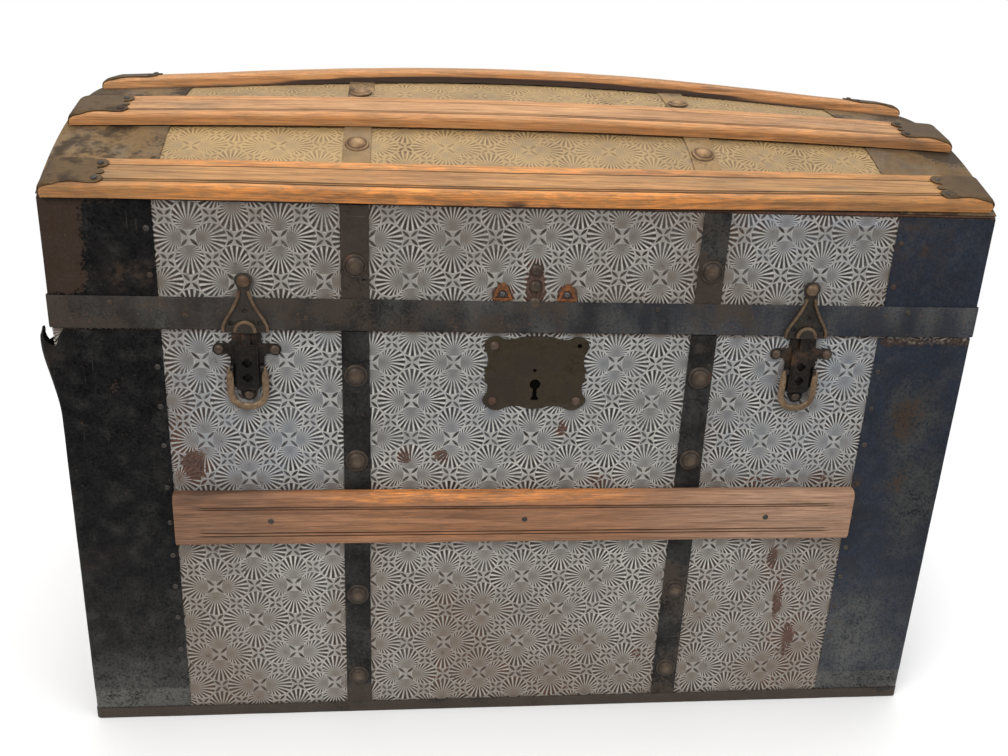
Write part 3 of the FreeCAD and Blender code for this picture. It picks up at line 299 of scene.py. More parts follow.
def shell(outer, inner):
    """A closed sheet between two grids of the same shape."""
    rows, columns = outer.shape[:2]
    count = rows * columns
    quads = grid_quads(rows, columns)
    rim = list(range(columns))
    rim += [row * columns + columns - 1 for row in range(1, rows)]
    rim += [(rows - 1) * columns + column for column in range(columns - 2, -1, -1)]
    rim += [row * columns for row in range(rows - 2, 0, -1)]
    rim = np.array(rim)
    following = np.roll(rim, -1)
    side = np.stack([rim, following, following + count, rim + count], -1)
    points = np.concatenate([outer.reshape(-1, 3), inner.reshape(-1, 3)])
    return points, np.concatenate([quads, quads[:, ::-1] + count, side]), []


def tidy(mesh, angle=0.6):
    """Turns faces outwards and shades them smooth up to an angle."""
    work = bmesh.new()
    work.from_mesh(mesh)
    bmesh.ops.recalc_face_normals(work, faces=work.faces)
    work.to_mesh(mesh)
    work.free()
    mesh.polygons.foreach_set("use_smooth", [True] * len(mesh.polygons))
    mesh.set_sharp_from_angle(angle=angle)
    return mesh


def paint(mesh, **layers):
    """Stores one number per vertex under each name."""
    for name, values in layers.items():
        layer = mesh.attributes.new(name, "FLOAT", "POINT")
        layer.data.foreach_set("value", np.asarray(values, np.float32))


def places_of(mesh):
    points = np.empty(len(mesh.vertices) * 3, np.float32)
    mesh.vertices.foreach_get("co", points)
    return points.reshape(-1, 3).astype(float)


def add_piece(name, mesh, finish, body, slot, *nodes):
    """Enters a mesh as a piece that rides on a body and stands for CAD nodes."""
    item = bpy.data.objects.new(name, mesh)
    scene.collection.objects.link(item)
    if finish:
        mesh.materials.clear()
        mesh.materials.append(finish)
    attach(item, body)
    if nodes:
        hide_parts(*nodes)
    return item


def rounded_bar(half_wide, half_thick, corner, steps=3):
    """Section of a bar with rounded edges, as (across, out) pairs, anticlockwise."""
    points = []
    for number, (across, out) in enumerate(((1, 1), (-1, 1), (-1, -1), (1, -1))):
        for angle in np.linspace(number, number + 1, steps + 1) * math.pi / 2:
            round_across, round_out = corner * math.cos(angle), corner * math.sin(angle)
            points.append((across * (half_wide - corner) + round_across, out * (half_thick - corner) + round_out))
    return np.array(points)


# ------------------------------------------------------ pressed sunburst


RIB_STEP = 0.2705  # angle from one rib of a fan to the next


def leaf(along, across, low, high, width):
    """A pointed leaf lying along one axis."""
    share = (along - low) / (high - low)
    half = 4 * width * share * (1 - share)
    return ramp(half - across, -0.008, 0.014)


def sunburst(u, v):
    """Relief, recess, crest and hub of the pressed sheet; stars stand where u and v are whole and even in sum."""
    first, second = fold(u + v), fold(u - v)
    high, low = most(first, second), least(first, second)
    along, across = (high + low) * 0.5, (high - low) * 0.5
    # round field that holds one fan
    away = root((along - 0.5) * (along - 0.5) + across * across)
    disc = 1 - ramp(away, 0.318, 0.345)
    # ribs from a point near the star
    ahead = along - 0.30
    reach = root(ahead * ahead + across * across)
    angle = turn(across, ahead)
    wave = fold(angle / (RIB_STEP / 2))
    within = disc * (1 - ramp(angle, 2.0, 2.4)) * ramp(reach, 0.02, 0.08)
    depth = ramp(1 - wave, 0.36, 0.7) * within * (0.12 + 0.88 * ramp(reach, 0.10, 0.34))
    ribs = ramp(wave, 0.5, 0.85) * within * (0.2 + 0.8 * ramp(reach, 0.05, 0.26))
    # four narrow leaves in each star between the fields
    leaves = most(leaf(high, low, 0.05, 0.42, 0.056), leaf(1 - high, low, 0.03, 0.30, 0.05))
    leaves = most(leaves, leaf(low, 1 - high, 0.03, 0.30, 0.05))
    leaves = most(leaves, leaf(1 - low, 1 - high, 0.03, 0.36, 0.054)) * (1 - disc)
    rim = 1 - ramp(size(away - 0.352), 0.002, 0.02)
    between = (1 - disc) * (1 - leaves)
    crest = most(most(ribs, 0.7 * rim), 0.42 * between + 2.2 * leaves * (1 - leaves)) * (1 - 0.8 * depth)
    bowl = ramp(along, 0.14, 0.44)
    relief = (0.6 + 0.27 * bowl) * disc + 0.93 * (1 - disc) - 0.6 * depth - 0.5 * leaves
    hub = disc * (1 - ramp(reach, 0.02, 0.24))
    return relief, most(depth, 0.9 * leaves), crest, hub


# ------------------------------------------------------------ node trees


def colour(red, green, blue):
    """A colour from its 0 to 255 display values."""
    parts = [channel / 255 for channel in (red, green, blue)]
    linear = [c / 12.92 if c <= 0.04045 else ((c + 0.055) / 1.055) ** 2.4 for c in parts]
    return (*linear, 1.0)


class Tree:
    """A node tree and the steps that finishes share."""

    def __init__(self, tree):
        self.tree = tree

    def node(self, kind, inputs=None, **settings):
        node = self.tree.nodes.new(kind)
        for name, value in settings.items():
            setattr(node, name, value)
        for name, value in (inputs or {}).items():
            put(self.tree, value, node.inputs[name])
        return node

    def wire(self, node, output=0):
        return Wire(self.tree, node.outputs[output])

    def stretch(self, place, scale):
        node = self.node("ShaderNodeMapping", {"Vector": place})
        node.inputs["Scale"].default_value = scale
        return self.wire(node)

    def noise(self, place, scale, detail=3.0, rough=0.55, bend=0.0):
        inputs = {"Vector": place, "Scale": scale, "Detail": detail}
        inputs.update({"Roughness": rough, "Distortion": bend})
        return self.wire(self.node("ShaderNodeTexNoise", inputs), "Fac")

    def mix(self, share, first, second):
        """Mixes two colours, each a wire or three display values from 0 to 255."""
        node = self.node("ShaderNodeMix", data_type="RGBA")
        put(self.tree, share, node.inputs[0])
        for value, socket in ((first, node.inputs[6]), (second, node.inputs[7])):
            put(self.tree, value if isinstance(value, Wire) else colour(*value), socket)
        return self.wire(node, 2)

    def attribute(self, name):
        return self.wire(self.node("ShaderNodeAttribute", attribute_name=name), "Fac")

    def split(self, vector):
        node = self.node("ShaderNodeSeparateXYZ", {0: vector})
        return [self.wire(node, axis) for axis in range(3)]


def new_group(name, numbers, outputs):
    """A shader node group with a Place and named numbers; returns its kit, input wires and output node."""
    tree = bpy.data.node_groups.new(name, "ShaderNodeTree")
    tree.interface.new_socket(name="Place", in_out="INPUT", socket_type="NodeSocketVector")
    for label, value in numbers.items():
        socket = tree.interface.new_socket(name=label, in_out="INPUT", socket_type="NodeSocketFloat")
        socket.default_value = value
    for label in outputs:
        tree.interface.new_socket(name=label, in_out="OUTPUT", socket_type="NodeSocketFloat")
    kit = Tree(tree)
    start = kit.node("NodeGroupInput")
    return kit, {label: kit.wire(start, label) for label in ("Place", *numbers)}, kit.node("NodeGroupOutput")


def give(kit, finish, **values):
    """Links each wire to the group output of its name."""
    for label, value in values.items():
        put(kit.tree, value, finish.inputs[label])
    return kit.tree


def sunburst_group():
    labels = ("Relief", "Recess", "Crest", "Hub")
    kit, given, finish = new_group("pressed_sunburst", {}, labels)
    u, v, _ = kit.split(given["Place"])
    return give(kit, finish, **dict(zip(labels, sunburst(u, v))))


def grain_group():
    """Long fibres, pores, broad figure, blotches and mottle of a board that runs along X."""
    outputs = ("Fibre", "Pores", "Figure", "Blotch", "Mottle")
    kit, given, finish = new_group("board_grain", {"Coarse": 1.0}, outputs)

    def fibres(along, across, *settings):
        return kit.noise(kit.stretch(given["Place"], (along, across, across)), *settings)

    bend = fibres(2.0, 14.0, 1.0, 2.0)
    fibre = fibres(24.0, 700.0, given["Coarse"], 4.0, 0.68)
    fine = fibres(22.0, 2400.0, given["Coarse"], 2.0, 0.5)
    figure = fibres(5.0, 140.0, given["Coarse"], 4.0, 0.62, 1.4)
    blotch = fibres(7.0, 22.0, 1.0, 4.0, 0.6)
    mottle = fibres(44.0, 190.0, 1.0, 4.0, 0.66, 0.6)
    return give(
        kit,
        finish,
        Fibre=fibre * 0.7 + fine * 0.3,
        Pores=1 - ramp(fine, 0.30, 0.42),
        Figure=figure * 0.75 + bend * 0.25,
        Blotch=blotch,
        Mottle=ramp(mottle, 0.36, 0.6),
    )


def wear_group():
    """Worn-through patches, fine specks, scratches, grit, clouds and mottle of old sheet metal."""
    outputs = ("Patches", "Specks", "Scratches", "Grit", "Cloudy", "Mottle")
    kit, given, finish = new_group("old_metal_wear", {"Amount": 0.5}, outputs)
    place, amount = given["Place"], given["Amount"]
    broad = kit.noise(place, 11.0, 5.0, 0.62)
    mid = kit.noise(place, 55.0, 5.0, 0.68)
    fine = kit.noise(place, 420.0, 3.0, 0.6)
    speck = kit.noise(place, 230.0, 3.0, 0.6)
    long = kit.noise(kit.stretch(place, (900.0, 30.0, 30.0)), 1.0, 2.0)
    tall = kit.noise(kit.stretch(place, (30.0, 900.0, 700.0)), 1.0, 2.0)
    return give(
        kit,
        finish,
        Patches=ramp(broad * 0.62 + mid * 0.38 + amount * 0.3, 0.6, 0.7),
        Specks=ramp(speck + amount * 0.12, 0.66, 0.74),
        Scratches=ramp(most(long, tall), 0.7, 0.8),
        Grit=fine * 0.6 + mid * 0.4,
        Cloudy=broad,
        Mottle=ramp(mid, 0.36, 0.64),
    )


SUNBURST = sunburst_group()
GRAIN = grain_group()
WEAR = wear_group()


class Finish(Tree):
    """A material with one Principled shader."""

    def __init__(self, name):
        self.material = bpy.data.materials.new(name)
        self.material.use_nodes = True
        super().__init__(self.material.node_tree)
        self.tree.nodes.clear()
        self.shader = self.node("ShaderNodeBsdfPrincipled")
        output = self.node("ShaderNodeOutputMaterial")
        self.tree.links.new(self.shader.outputs[0], output.inputs["Surface"])
        self.place = self.wire(self.node("ShaderNodeTexCoord"), "Object")

    def group(self, tree, inputs):
        node = self.node("ShaderNodeGroup", node_tree=tree)
        for name, value in inputs.items():
            put(self.tree, value, node.inputs[name])
        return {output.name: Wire(self.tree, output) for output in node.outputs}

    def done(self, body, rough, metal=0.0, height=None, lift=0.0, shine=0.5):
        """Feeds the shader; lift is the bump's height in metres."""
        self.shader.inputs["Specular IOR Level"].default_value = shine
        put(self.tree, body, self.shader.inputs["Base Color"])
        put(self.tree, rough, self.shader.inputs["Roughness"])
        put(self.tree, metal, self.shader.inputs["Metallic"])
        if height is not None:
            bump = self.node("ShaderNodeBump", {"Height": height, "Distance": lift})
            self.tree.links.new(bump.outputs[0], self.shader.inputs["Normal"])
        return self.material


def pressed_tin(name, field, bright, low, stain, rough, metal, faded):
    """Embossed sheet: ribs with a painted highlight, painted shade in the recesses and on the hubs, brown dirt with
    the painted shade of its stain layers, and rust where painted.
    """
    make = Finish(name)
    uv = make.wire(make.node("ShaderNodeUVMap", uv_map="emboss"))
    pattern = make.group(SUNBURST, {"Place": uv})
    wear = make.group(WEAR, {"Place": make.place, "Amount": 0.3})
    grime = make.attribute("grime")
    rust = make.attribute("rust")
    cool = make.attribute("cool")
    body = make.mix(ramp(wear["Cloudy"] * 0.6 + wear["Grit"] * 0.4, 0.36, 0.62), field, stain)
    body = make.mix(cool * 0.5, body, (136, 152, 172))
    # painted shade on the hub's slope beside the star, deeper where the stain layer is dark
    body = make.mix(pattern["Hub"] * (0.15 + 0.5 * grime), body, (100, 92, 82))
    gritty = ramp(wear["Grit"], 0.36, 0.62)
    worn = (0.3 + 0.5 * gritty + 0.25 * wear["Mottle"]) * (1 - 0.55 * grime) * (1 - 0.75 * faded)
    # painted highlight on the rib crests, rims and star ridges, broken up by wear and dirt
    body = make.mix(pattern["Crest"] * worn, body, bright)
    # painted shade in the furrows and leaves
    deep = pattern["Recess"] * (1 - faded * 0.65) * (0.5 + 0.35 * gritty + 0.3 * wear["Mottle"])
    body = make.mix(deep, body, low)
    # brown soil in the recesses; this also brings in the painted shade that the stain layer holds near the floor and
    # under the band
    soil_and_shade = ramp(grime + (wear["Grit"] - 0.5) * 0.9, 0.1, 0.85)
    soil = make.mix(pattern["Recess"], (104, 84, 66), (64, 46, 35))
    body = make.mix(soil_and_shade * (0.5 + 0.4 * pattern["Recess"]) * (1 - 0.45 * pattern["Crest"]), body, soil)
    speck = wear["Specks"] * ramp(grime, 0.05, 0.5)
    body = make.mix(speck * 0.7, body, (74, 52, 40))
    spot = ramp(rust * 1.2 + (wear["Grit"] - 0.5) * 1.7 + (pattern["Recess"] - pattern["Crest"]) * 0.3, 0.5, 0.66)
    rusty = make.mix(ramp(wear["Grit"], 0.35, 0.65), (50, 31, 24), (88, 57, 42))
    body = make.mix(spot * 0.95, body, rusty)
    dull = most(spot, soil_and_shade * 0.6)
    bump = pattern["Relief"] * (1 - 0.6 * faded) + wear["Grit"] * 0.12
    return make.done(body, rough + 0.25 * dull + 0.12 * deep, metal * (1 - dull), bump, 0.0005)


def old_sheet(name, first, second, worn, amount, rough=0.5, metal=0.1, lift=0.0002, shine=0.14):
    """Painted sheet iron: colour clouds, patches worn to brown, specks and scratches."""
    make = Finish(name)
    wear = make.group(WEAR, {"Place": make.place, "Amount": amount})
    brown = make.attribute("brown")
    bare = make.attribute("bare")
    body = make.mix(ramp(wear["Cloudy"], 0.35, 0.62), first, second)
    body = make.mix(make.attribute("cold"), body, make.mix(wear["Grit"], (23, 28, 38), (53, 61, 76)))
    body = make.mix(wear["Mottle"] * 0.4, body, make.mix(ramp(wear["Cloudy"], 0.5, 0.7) * 0.6, second, worn))
    dust = make.attribute("dust") * ramp(wear["Grit"], 0.3, 0.6)
    body = make.mix(dust, body, (104, 104, 100))
    patch = ramp(brown + (wear["Grit"] - 0.5) * 0.9 + (wear["Cloudy"] - 0.5) * 0.5, 0.42, 0.56)
    body = make.mix(patch * 0.85, body, worn)
    body = make.mix(wear["Patches"] * 0.8, body, worn)
    body = make.mix(wear["Scratches"] * 0.25, body, (120, 112, 100))
    body = make.mix(wear["Specks"] * 0.5, body, (96, 74, 56))
    body = make.mix(ramp(bare + (wear["Grit"] - 0.5) * 0.8, 0.45, 0.7), body, (126, 118, 106))
    body = make.mix((wear["Grit"] - 0.35) * 0.35, body, (92, 88, 84))
    dull = rough + 0.25 * wear["Patches"] + (wear["Grit"] - 0.5) * 0.25
    return make.done(body, dull, metal, wear["Grit"] + wear["Patches"] * -0.25, lift, shine=shine)


def board(name, pale, deep, grey, wear, coarse=1.0):
    """Bare wood that runs along X, darkened where stained; the groove and stain layers also carry painted shade, and
    the warm layer a painted highlight.
    """
    make = Finish(name)
    grain = make.group(GRAIN, {"Place": make.place, "Coarse": coarse})
    stain = make.attribute("stain")
    body = make.mix(ramp(grain["Figure"], 0.36, 0.66), pale, deep)
    body = make.mix(ramp(grain["Blotch"], 0.45, 0.75) * wear, body, grey)
    body = make.mix(make.attribute("pale") * (0.2 + 0.6 * grain["Blotch"]), body, (206, 174, 148))
    # warm tone, and on the body rail's top edge a painted highlight
    body = make.mix(make.attribute("ruddy") * (0.3 + 0.8 * grain["Mottle"]), body, (244, 154, 74))
    body = make.mix(ramp(grain["Fibre"], 0.44, 0.6) * 0.6, body, deep)
    streak = ramp(grain["Figure"] * 0.6 + grain["Blotch"] * 0.4, 0.52, 0.62)
    body = make.mix(streak * 0.4, body, (92, 60, 38))
    body = make.mix(grain["Pores"] * 0.45, body, (58, 34, 20))
    # painted shade in the groove lines and along the crown slat's lower side
    body = make.mix(make.attribute("groove") * 0.85, body, (48, 30, 20))
    # stains, and the painted shadow along the crown slat's lower side
    dark = ramp(stain + (grain["Fibre"] - 0.5) * 0.9, 0.2, 0.95)
    body = make.mix(dark * 0.85, body, (46, 30, 22))
    rough = 0.52 + 0.25 * grain["Fibre"]
    height = grain["Fibre"] - grain["Pores"] * 0.6
    return make.done(body, rough, 0.0, height, 0.0003)


def cap_metal(name, first, second, ring_shade, top_highlight):
    """Strap caps: painted shade in the ring round the raised middle and at the edge, and a painted highlight on top.
    """
    make = Finish(name)
    wear = make.group(WEAR, {"Place": make.place, "Amount": 0.2})
    rim = make.attribute("rim")
    body = make.mix(ramp(wear["Cloudy"] * 0.4 + wear["Grit"] * 0.6, 0.4, 0.62), first, second)
    # painted shade in the ring groove and round the outer edge
    ring = (1 - ramp(size(rim - 0.75), 0.02, 0.09)) + ramp(rim, 0.92, 1.0)
    body = make.mix(least(ring, 1.0) * 0.8, body, ring_shade)
    # painted highlight on the raised top, broken up by grit
    body = make.mix((1 - ramp(rim, 0.1, 0.6)) * wear["Grit"] * 0.9, body, top_highlight)
    body = make.mix(wear["Patches"] * 0.6, body, (86, 52, 36))
    return make.done(body, 0.4 + 0.25 * wear["Grit"], 0.55, wear["Grit"], 0.00015)


def plain_metal(name, first, second, rust_colour, amount, rough=0.42, metal=0.6, lift=0.00015, shine=0.3):
    """Small ironwork and brass: two tones, rust in patches and grit."""
    make = Finish(name)
    wear = make.group(WEAR, {"Place": make.place, "Amount": amount})
    body = make.mix(ramp(wear["Cloudy"] * 0.5 + wear["Grit"] * 0.5, 0.38, 0.6), first, second)
    body = make.mix(most(wear["Patches"], wear["Specks"]) * 0.85, body, rust_colour)
    dull = rough + 0.25 * wear["Patches"] + (wear["Grit"] - 0.5) * 0.3
    return make.done(body, dull, metal * (1 - 0.7 * wear["Patches"]), wear["Grit"], lift, shine=shine)


def leather_finish():
    make = Finish("old_leather")
    cell = make.node("ShaderNodeTexVoronoi", {"Vector": make.place, "Scale": 620.0})
    pebble = make.wire(cell, "Distance")
    broad = make.noise(make.place, 26.0, 5.0, 0.65)
    crack = ramp(make.noise(make.stretch(make.place, (1.0, 0.35, 1.0)), 160.0, 4.0, 0.7), 0.58, 0.68)
    body = make.mix(ramp(broad, 0.35, 0.65), (52, 34, 24), (92, 58, 36))
    body = make.mix(crack * 0.7, body, (30, 20, 15))
    body = make.mix(make.attribute("edge") * 0.5, body, (124, 84, 54))
    return make.done(body, 0.55 + 0.2 * broad, 0.0, pebble * 0.4 - crack * 0.8, 0.0003)


def paper_finish():
    """Aged lining paper with a fine printed stripe and water stains."""
    make = Finish("lining_paper")
    x, y, _ = make.split(make.place)
    stripe = ramp(size(fold((x + y) * 80) - 0.5), 0.38, 0.46)
    broad = make.noise(make.place, 9.0, 5.0, 0.6)
    fibre = make.noise(make.place, 500.0, 2.0)
    body = make.mix(ramp(broad, 0.35, 0.7), (206, 190, 158), (168, 142, 104))
    body = make.mix(stripe * 0.35, body, (120, 104, 84))
    body = make.mix(ramp(make.noise(make.place, 4.0, 6.0, 0.7), 0.56, 0.6) * 0.45, body, (112, 82, 52))
    return make.done(body, 0.82, 0.0, fibre, 0.0001)


# Values for the finish's maker, in its order, by the key under which pieces ask for the finish
SHEETS = {
    "cover": ("black_sheet", (2, 3, 5), (10, 10, 12), (58, 44, 35), 0.0, 0.48, 0.0, 0.0002, 0.09),
    "dome_sheet": ("tan_sheet", (86, 65, 40), (124, 99, 65), (46, 35, 25), 0.35, 0.55),
    "dome_strap": ("dome_strap_iron", (120, 96, 64), (150, 122, 84), (76, 60, 42), 0.25, 0.55),
    "strap": ("strap_iron", (6, 6, 7), (20, 18, 17), (58, 49, 42), 0.2, 0.48, 0.0),
    "clamp": ("clamp_sheet", (70, 53, 32), (94, 73, 47), (46, 34, 23), 0.3, 0.42, 0.2),
    "band": ("band_iron", (26, 24, 23), (46, 42, 39), (60, 51, 44), 0.25, 0.5, 0.0),
}
# Cap finishes: two tones, the ring's painted shade and the painted highlight on top
CAPS = {
    "cap": ("cap_iron", (54, 45, 38), (80, 68, 56), (30, 23, 20), (118, 100, 82)),
    "dome_cap": ("tan_cap", (112, 86, 58), (146, 116, 80), (62, 44, 30), (166, 136, 98)),
}
METALS = {
    "nail": ("nail_iron", (46, 43, 41), (76, 71, 66), (58, 44, 35), 0.35, 0.5, 0.3),
    "rivet": ("rivet_iron", (62, 52, 45), (98, 84, 71), (72, 48, 36), 0.35, 0.48, 0.4),
    "catch": ("catch_iron", (82, 67, 52), (120, 99, 77), (74, 53, 40), 0.3, 0.45, 0.4),
    "catch_dark": ("catch_iron_dark", (46, 43, 40), (70, 64, 58), (74, 54, 42), 0.05),
    "black_iron": ("black_iron", (26, 23, 22), (50, 44, 40), (84, 58, 38), 0.3, 0.42, 0.5),
    "bail": ("bail_wire", (98, 80, 62), (148, 124, 98), (78, 58, 43), 0.4, 0.45, 0.4),
    "brass": ("dark_brass", (48, 42, 31), (66, 57, 42), (44, 35, 27), 0.3, 0.42, 0.5),
    "steel": ("dull_steel", (84, 84, 84), (120, 118, 114), (92, 66, 48), 0.3),
    "rust": ("rusted_clip", (74, 48, 32), (164, 98, 44), (60, 40, 30), 0.4, 0.75, 0.0),
    "gap": ("keyhole_shade", (6, 5, 5), (12, 10, 9), (14, 11, 9), 0.2, 0.8, 0.0, 0.00015, 0.0),
}
BOARDS = {
    "slat_low": ("slat_front", (184, 136, 82), (132, 95, 56), (128, 105, 72), 0.9),
    "slat_top": ("slat_upper", (202, 152, 102), (148, 106, 67), (142, 115, 86), 0.9),
    "slat_body": ("slat_body", (154, 112, 82), (112, 76, 52), (110, 88, 70), 0.7),
    "pine": ("plain_pine", (176, 142, 100), (138, 102, 66), (110, 88, 64), 0.5, 0.6),
}
FINISH = {
    # pressed tin: field, painted highlight, painted shade and stain colours
    "front_tin": pressed_tin(
        "front_pressed_tin", (130, 128, 124), (214, 210, 202), (36, 31, 27), (112, 108, 102), 0.48, 0.3, 0.0
    ),
    "dome_tin": pressed_tin(
        "dome_pressed_tin", (162, 134, 88), (196, 166, 118), (88, 70, 46), (136, 111, 74), 0.6, 0.1, 0.7
    ),
    "leather": leather_finish(),
    "paper": paper_finish(),
}
for make_finish, table in ((old_sheet, SHEETS), (cap_metal, CAPS), (plain_metal, METALS), (board, BOARDS)):
    FINISH.update({key: make_finish(*values) for key, values in table.items()})


# ---------------------------------------------------------- pressed sheets


def lines(*bands):
    """Grid lines over joined bands, each given as (low, high, step)."""
    found = [np.linspace(low, high, max(1, round((high - low) / step)), endpoint=False) for low, high, step in bands]
    return np.concatenate(found + [[bands[-1][1]]])


def lattice(origin, along, up):
    """Star coordinates of places on a sheet whose repeats step along and up."""
    inverse = np.linalg.inv(np.array([along, up]).T)

    def find(first, second):
        offset = np.stack([first - origin[0], second - origin[1]], -1)
        return np.moveaxis(offset @ inverse.T, -1, 0)

    return find


def marks_at(first, second, marks):
    """The strongest of several soft round marks: (first, second, half widths, strength)."""
    total = np.zeros(np.shape(first))
    for place, level, wide, high, strength in marks:
        far = np.hypot((first - place) / wide, (second - level) / high)
        total = np.maximum(total, strength * np.clip(1.6 - far, 0, 1))
    return total


def sheet_part(across, up, place, repeat, coarse, depth=0.001, seed=5):
    """A pressed sheet: fine grid in front, coarse grid behind, and four edges."""
    s, t = np.meshgrid(across, up)
    flat = place(s, t, 0.0)
    u, v = repeat(s, t)
    u = u + 0.016 * cloud(flat, 0.022, seed + 50, 2).reshape(s.shape)
    v = v + 0.016 * cloud(flat, 0.022, seed + 60, 2).reshape(s.shape)
    relief = sunburst(u, v)[0]
    sag = cloud(flat, 0.06, seed, 2).reshape(s.shape)
    front = place(s, t, (relief - 1) * depth - 0.00012 + 0.0001 * sag)
    back_s, back_t = np.meshgrid(*coarse)
    back = place(back_s, back_t, -0.00155)
    fore = np.arange(s.size).reshape(s.shape)
    rear = np.arange(back_s.size).reshape(back_s.shape) + s.size
    quads = np.concatenate([grid_quads(*s.shape), grid_quads(*back_s.shape)[:, ::-1] + s.size])
    sides = [(fore[row], rear[row]) for row in (0, -1)] + [(fore[:, row], rear[:, row]) for row in (0, -1)]
    edges = [list(side) + list(other[::-1]) for side, other in sides]
    points = np.concatenate([front.reshape(-1, 3), back.reshape(-1, 3)])

    def pairs(fine, rough):
        return np.stack([np.concatenate([a.ravel(), b.ravel()]) for a, b in zip(fine, rough)], -1)

    return (points, quads, edges), pairs((u, v), repeat(back_s, back_t)), pairs((s, t), (back_s, back_t))


def pressed_piece(name, sheets, stains, finish, body, slot, *nodes):
    """Joins pressed sheets, stores their star coordinates and paints their stains and painted shade."""
    mesh = tidy(joined(name, [part for part, _, _ in sheets]), angle=1.2)
    stars = np.concatenate([found for _, found, _ in sheets])
    levels = np.concatenate([found for _, _, found in sheets])
    corners = np.empty(len(mesh.loops), np.int32)
    mesh.loops.foreach_get("vertex_index", corners)
    layer = mesh.uv_layers.new(name="emboss")
    layer.data.foreach_set("uv", stars[corners].astype(np.float32).ravel())
    grime, rust, cool = (np.clip(share, 0, 1) for share in stains(*levels.T, places_of(mesh)))
    paint(mesh, grime=grime, rust=rust, cool=cool)
    return add_piece(name, mesh, finish, body, slot, *nodes)


def front_place(x, z, out):
    return stacked(x, -HALF_DEPTH - out, z)


def back_place(x, z, out):
    return stacked(x, HALF_DEPTH + out, z)


def end_place(sign):
    return lambda y, z, out: stacked(sign * (SKIN_X + out), y, z)


FIELD_LOW, FIELD_HIGH = STRAP_X - STRAP_HALF, STRAP_X + STRAP_HALF
WOOD_X = 0.4294
FINE, ROUGH = 0.0011, 0.0022  # grid steps of the sheets in front and of the others
FRONT_LEFT = lattice((-0.0719, 0.3962), (0.03875, 0.00048), (0.00006, 0.03987))
FRONT_MIDDLE = lattice((-0.0732, 0.3929), (0.0386, 0.00007), (0.00035, 0.03874))
FRONT_RIGHT = lattice((-0.0709, 0.3945), (0.03822, -0.0006), (0.00022, 0.0385))
LID_LEFT = lattice((-0.0742, 0.5103), (0.03887, 0.00059), (0.00021, 0.03965))
LID_REST = lattice((-0.0767, 0.5115), (0.0383, 0.0012), (-0.00095, 0.0394))
PLAIN_REPEAT = lattice((0.012, 0.02), (0.0385, 0.0001), (0.0, 0.0386))


def thirds(fine):
    """Grid lines across the left, middle and right sheets."""
    side = ((FIELD_HIGH, COVER_EDGE, fine), (COVER_EDGE, WOOD_X, 0.02))
    right = lines((STRAP_X, FIELD_HIGH, 0.006), *side)
    left = -right[::-1]
    middle = lines((-STRAP_X, -FIELD_LOW, 0.006), (-FIELD_LOW, FIELD_LOW, fine), (FIELD_LOW, STRAP_X, 0.006))
    return left, middle, right


def from_iron(x):
    """Distance along a wall from the nearest strap or cover."""
    return np.minimum(np.abs(np.abs(x) - STRAP_X) - STRAP_HALF, COVER_EDGE - np.abs(x))


BODY_RUST = (
    (-0.3165, 0.2874, 0.011, 0.016, 1.0),
    (-0.1185, 0.2963, 0.007, 0.008, 0.8),
    (-0.0828, 0.2973, 0.007, 0.008, 0.8),
    (0.033, 0.3259, 0.005, 0.008, 0.8),
    (0.2646, 0.178, 0.006, 0.014, 0.7),
    (0.278, 0.13, 0.006, 0.03, 0.7),
    (0.2955, 0.0783, 0.008, 0.02, 0.7),
    (0.1311, 0.0634, 0.006, 0.01, 0.6),
    (-0.33, 0.31, 0.006, 0.05, 0.5),
    (0.25, 0.268, 0.022, 0.005, 0.6),
    (0.30, 0.272, 0.012, 0.008, 0.6),
    (0.072, 0.27, 0.010, 0.007, 0.6),
)
BODY_COOL = (
    (0.0, 0.36, 0.13, 0.07, 0.8),
    (0.26, 0.4, 0.12, 0.05, 0.9),
    (-0.25, 0.41, 0.1, 0.03, 0.8),
    (0.25, 0.33, 0.1, 0.06, 0.6),
    (-0.26, 0.34, 0.09, 0.09, 1.0),
)
LID_RUST = ((0.0, 0.465, 0.0075, 0.022, 1.5), (-0.03, 0.46, 0.008, 0.008, 1.5), (0.03, 0.46, 0.008, 0.008, 1.5))
LID_COOL = ((0.215, 0.533, 0.04, 0.006, 1.0), (0.3, 0.533, 0.03, 0.005, 1.0), (0.26, 0.5, 0.06, 0.03, 0.4))


def body_stains(x, z, points):
    """More brown towards the floor, partly dirt and partly painted shade, and along the ironwork; darker towards the
    left end, and a painted shadow along the top under the lid's band.
    """
    # darker towards the floor: dirt, and painted shade as the light falls from above
    low = 1 - ramp(z, 0.015, 0.3)
    edge = 1 - ramp(from_iron(x), 0.0, 0.03)
    slat = 1 - ramp(np.minimum(np.abs(z - SLAT_LOW), np.abs(z - SLAT_HIGH)), 0.0, 0.022)
    broad = cloud(points, 0.09, 17)
    # darker towards the left end
    left = ramp(-x, 0.2, 0.32)
    grime = 0.55 * low + 0.22 * edge + 0.25 * slat + 0.25 * broad + 0.34 * left + 0.08
    fine = cloud(points, 0.016, 23)
    rust = marks_at(x, z, BODY_RUST)
    rust = rust + 0.3 * low * ramp(fine + broad, 0.5, 1.1)
    grime = grime + 0.5 * marks_at(x, z, ((-DRAW_X, 0.385, 0.02, 0.035, 1.0), (DRAW_X, 0.385, 0.02, 0.035, 1.0)))
    # painted shadow under the lid's band along the top of the sheets
    grime = grime + 0.9 * ramp(z, 0.4185, 0.4225)
    return grime, rust, marks_at(x, z, BODY_COOL) * (0.7 + 0.4 * broad)


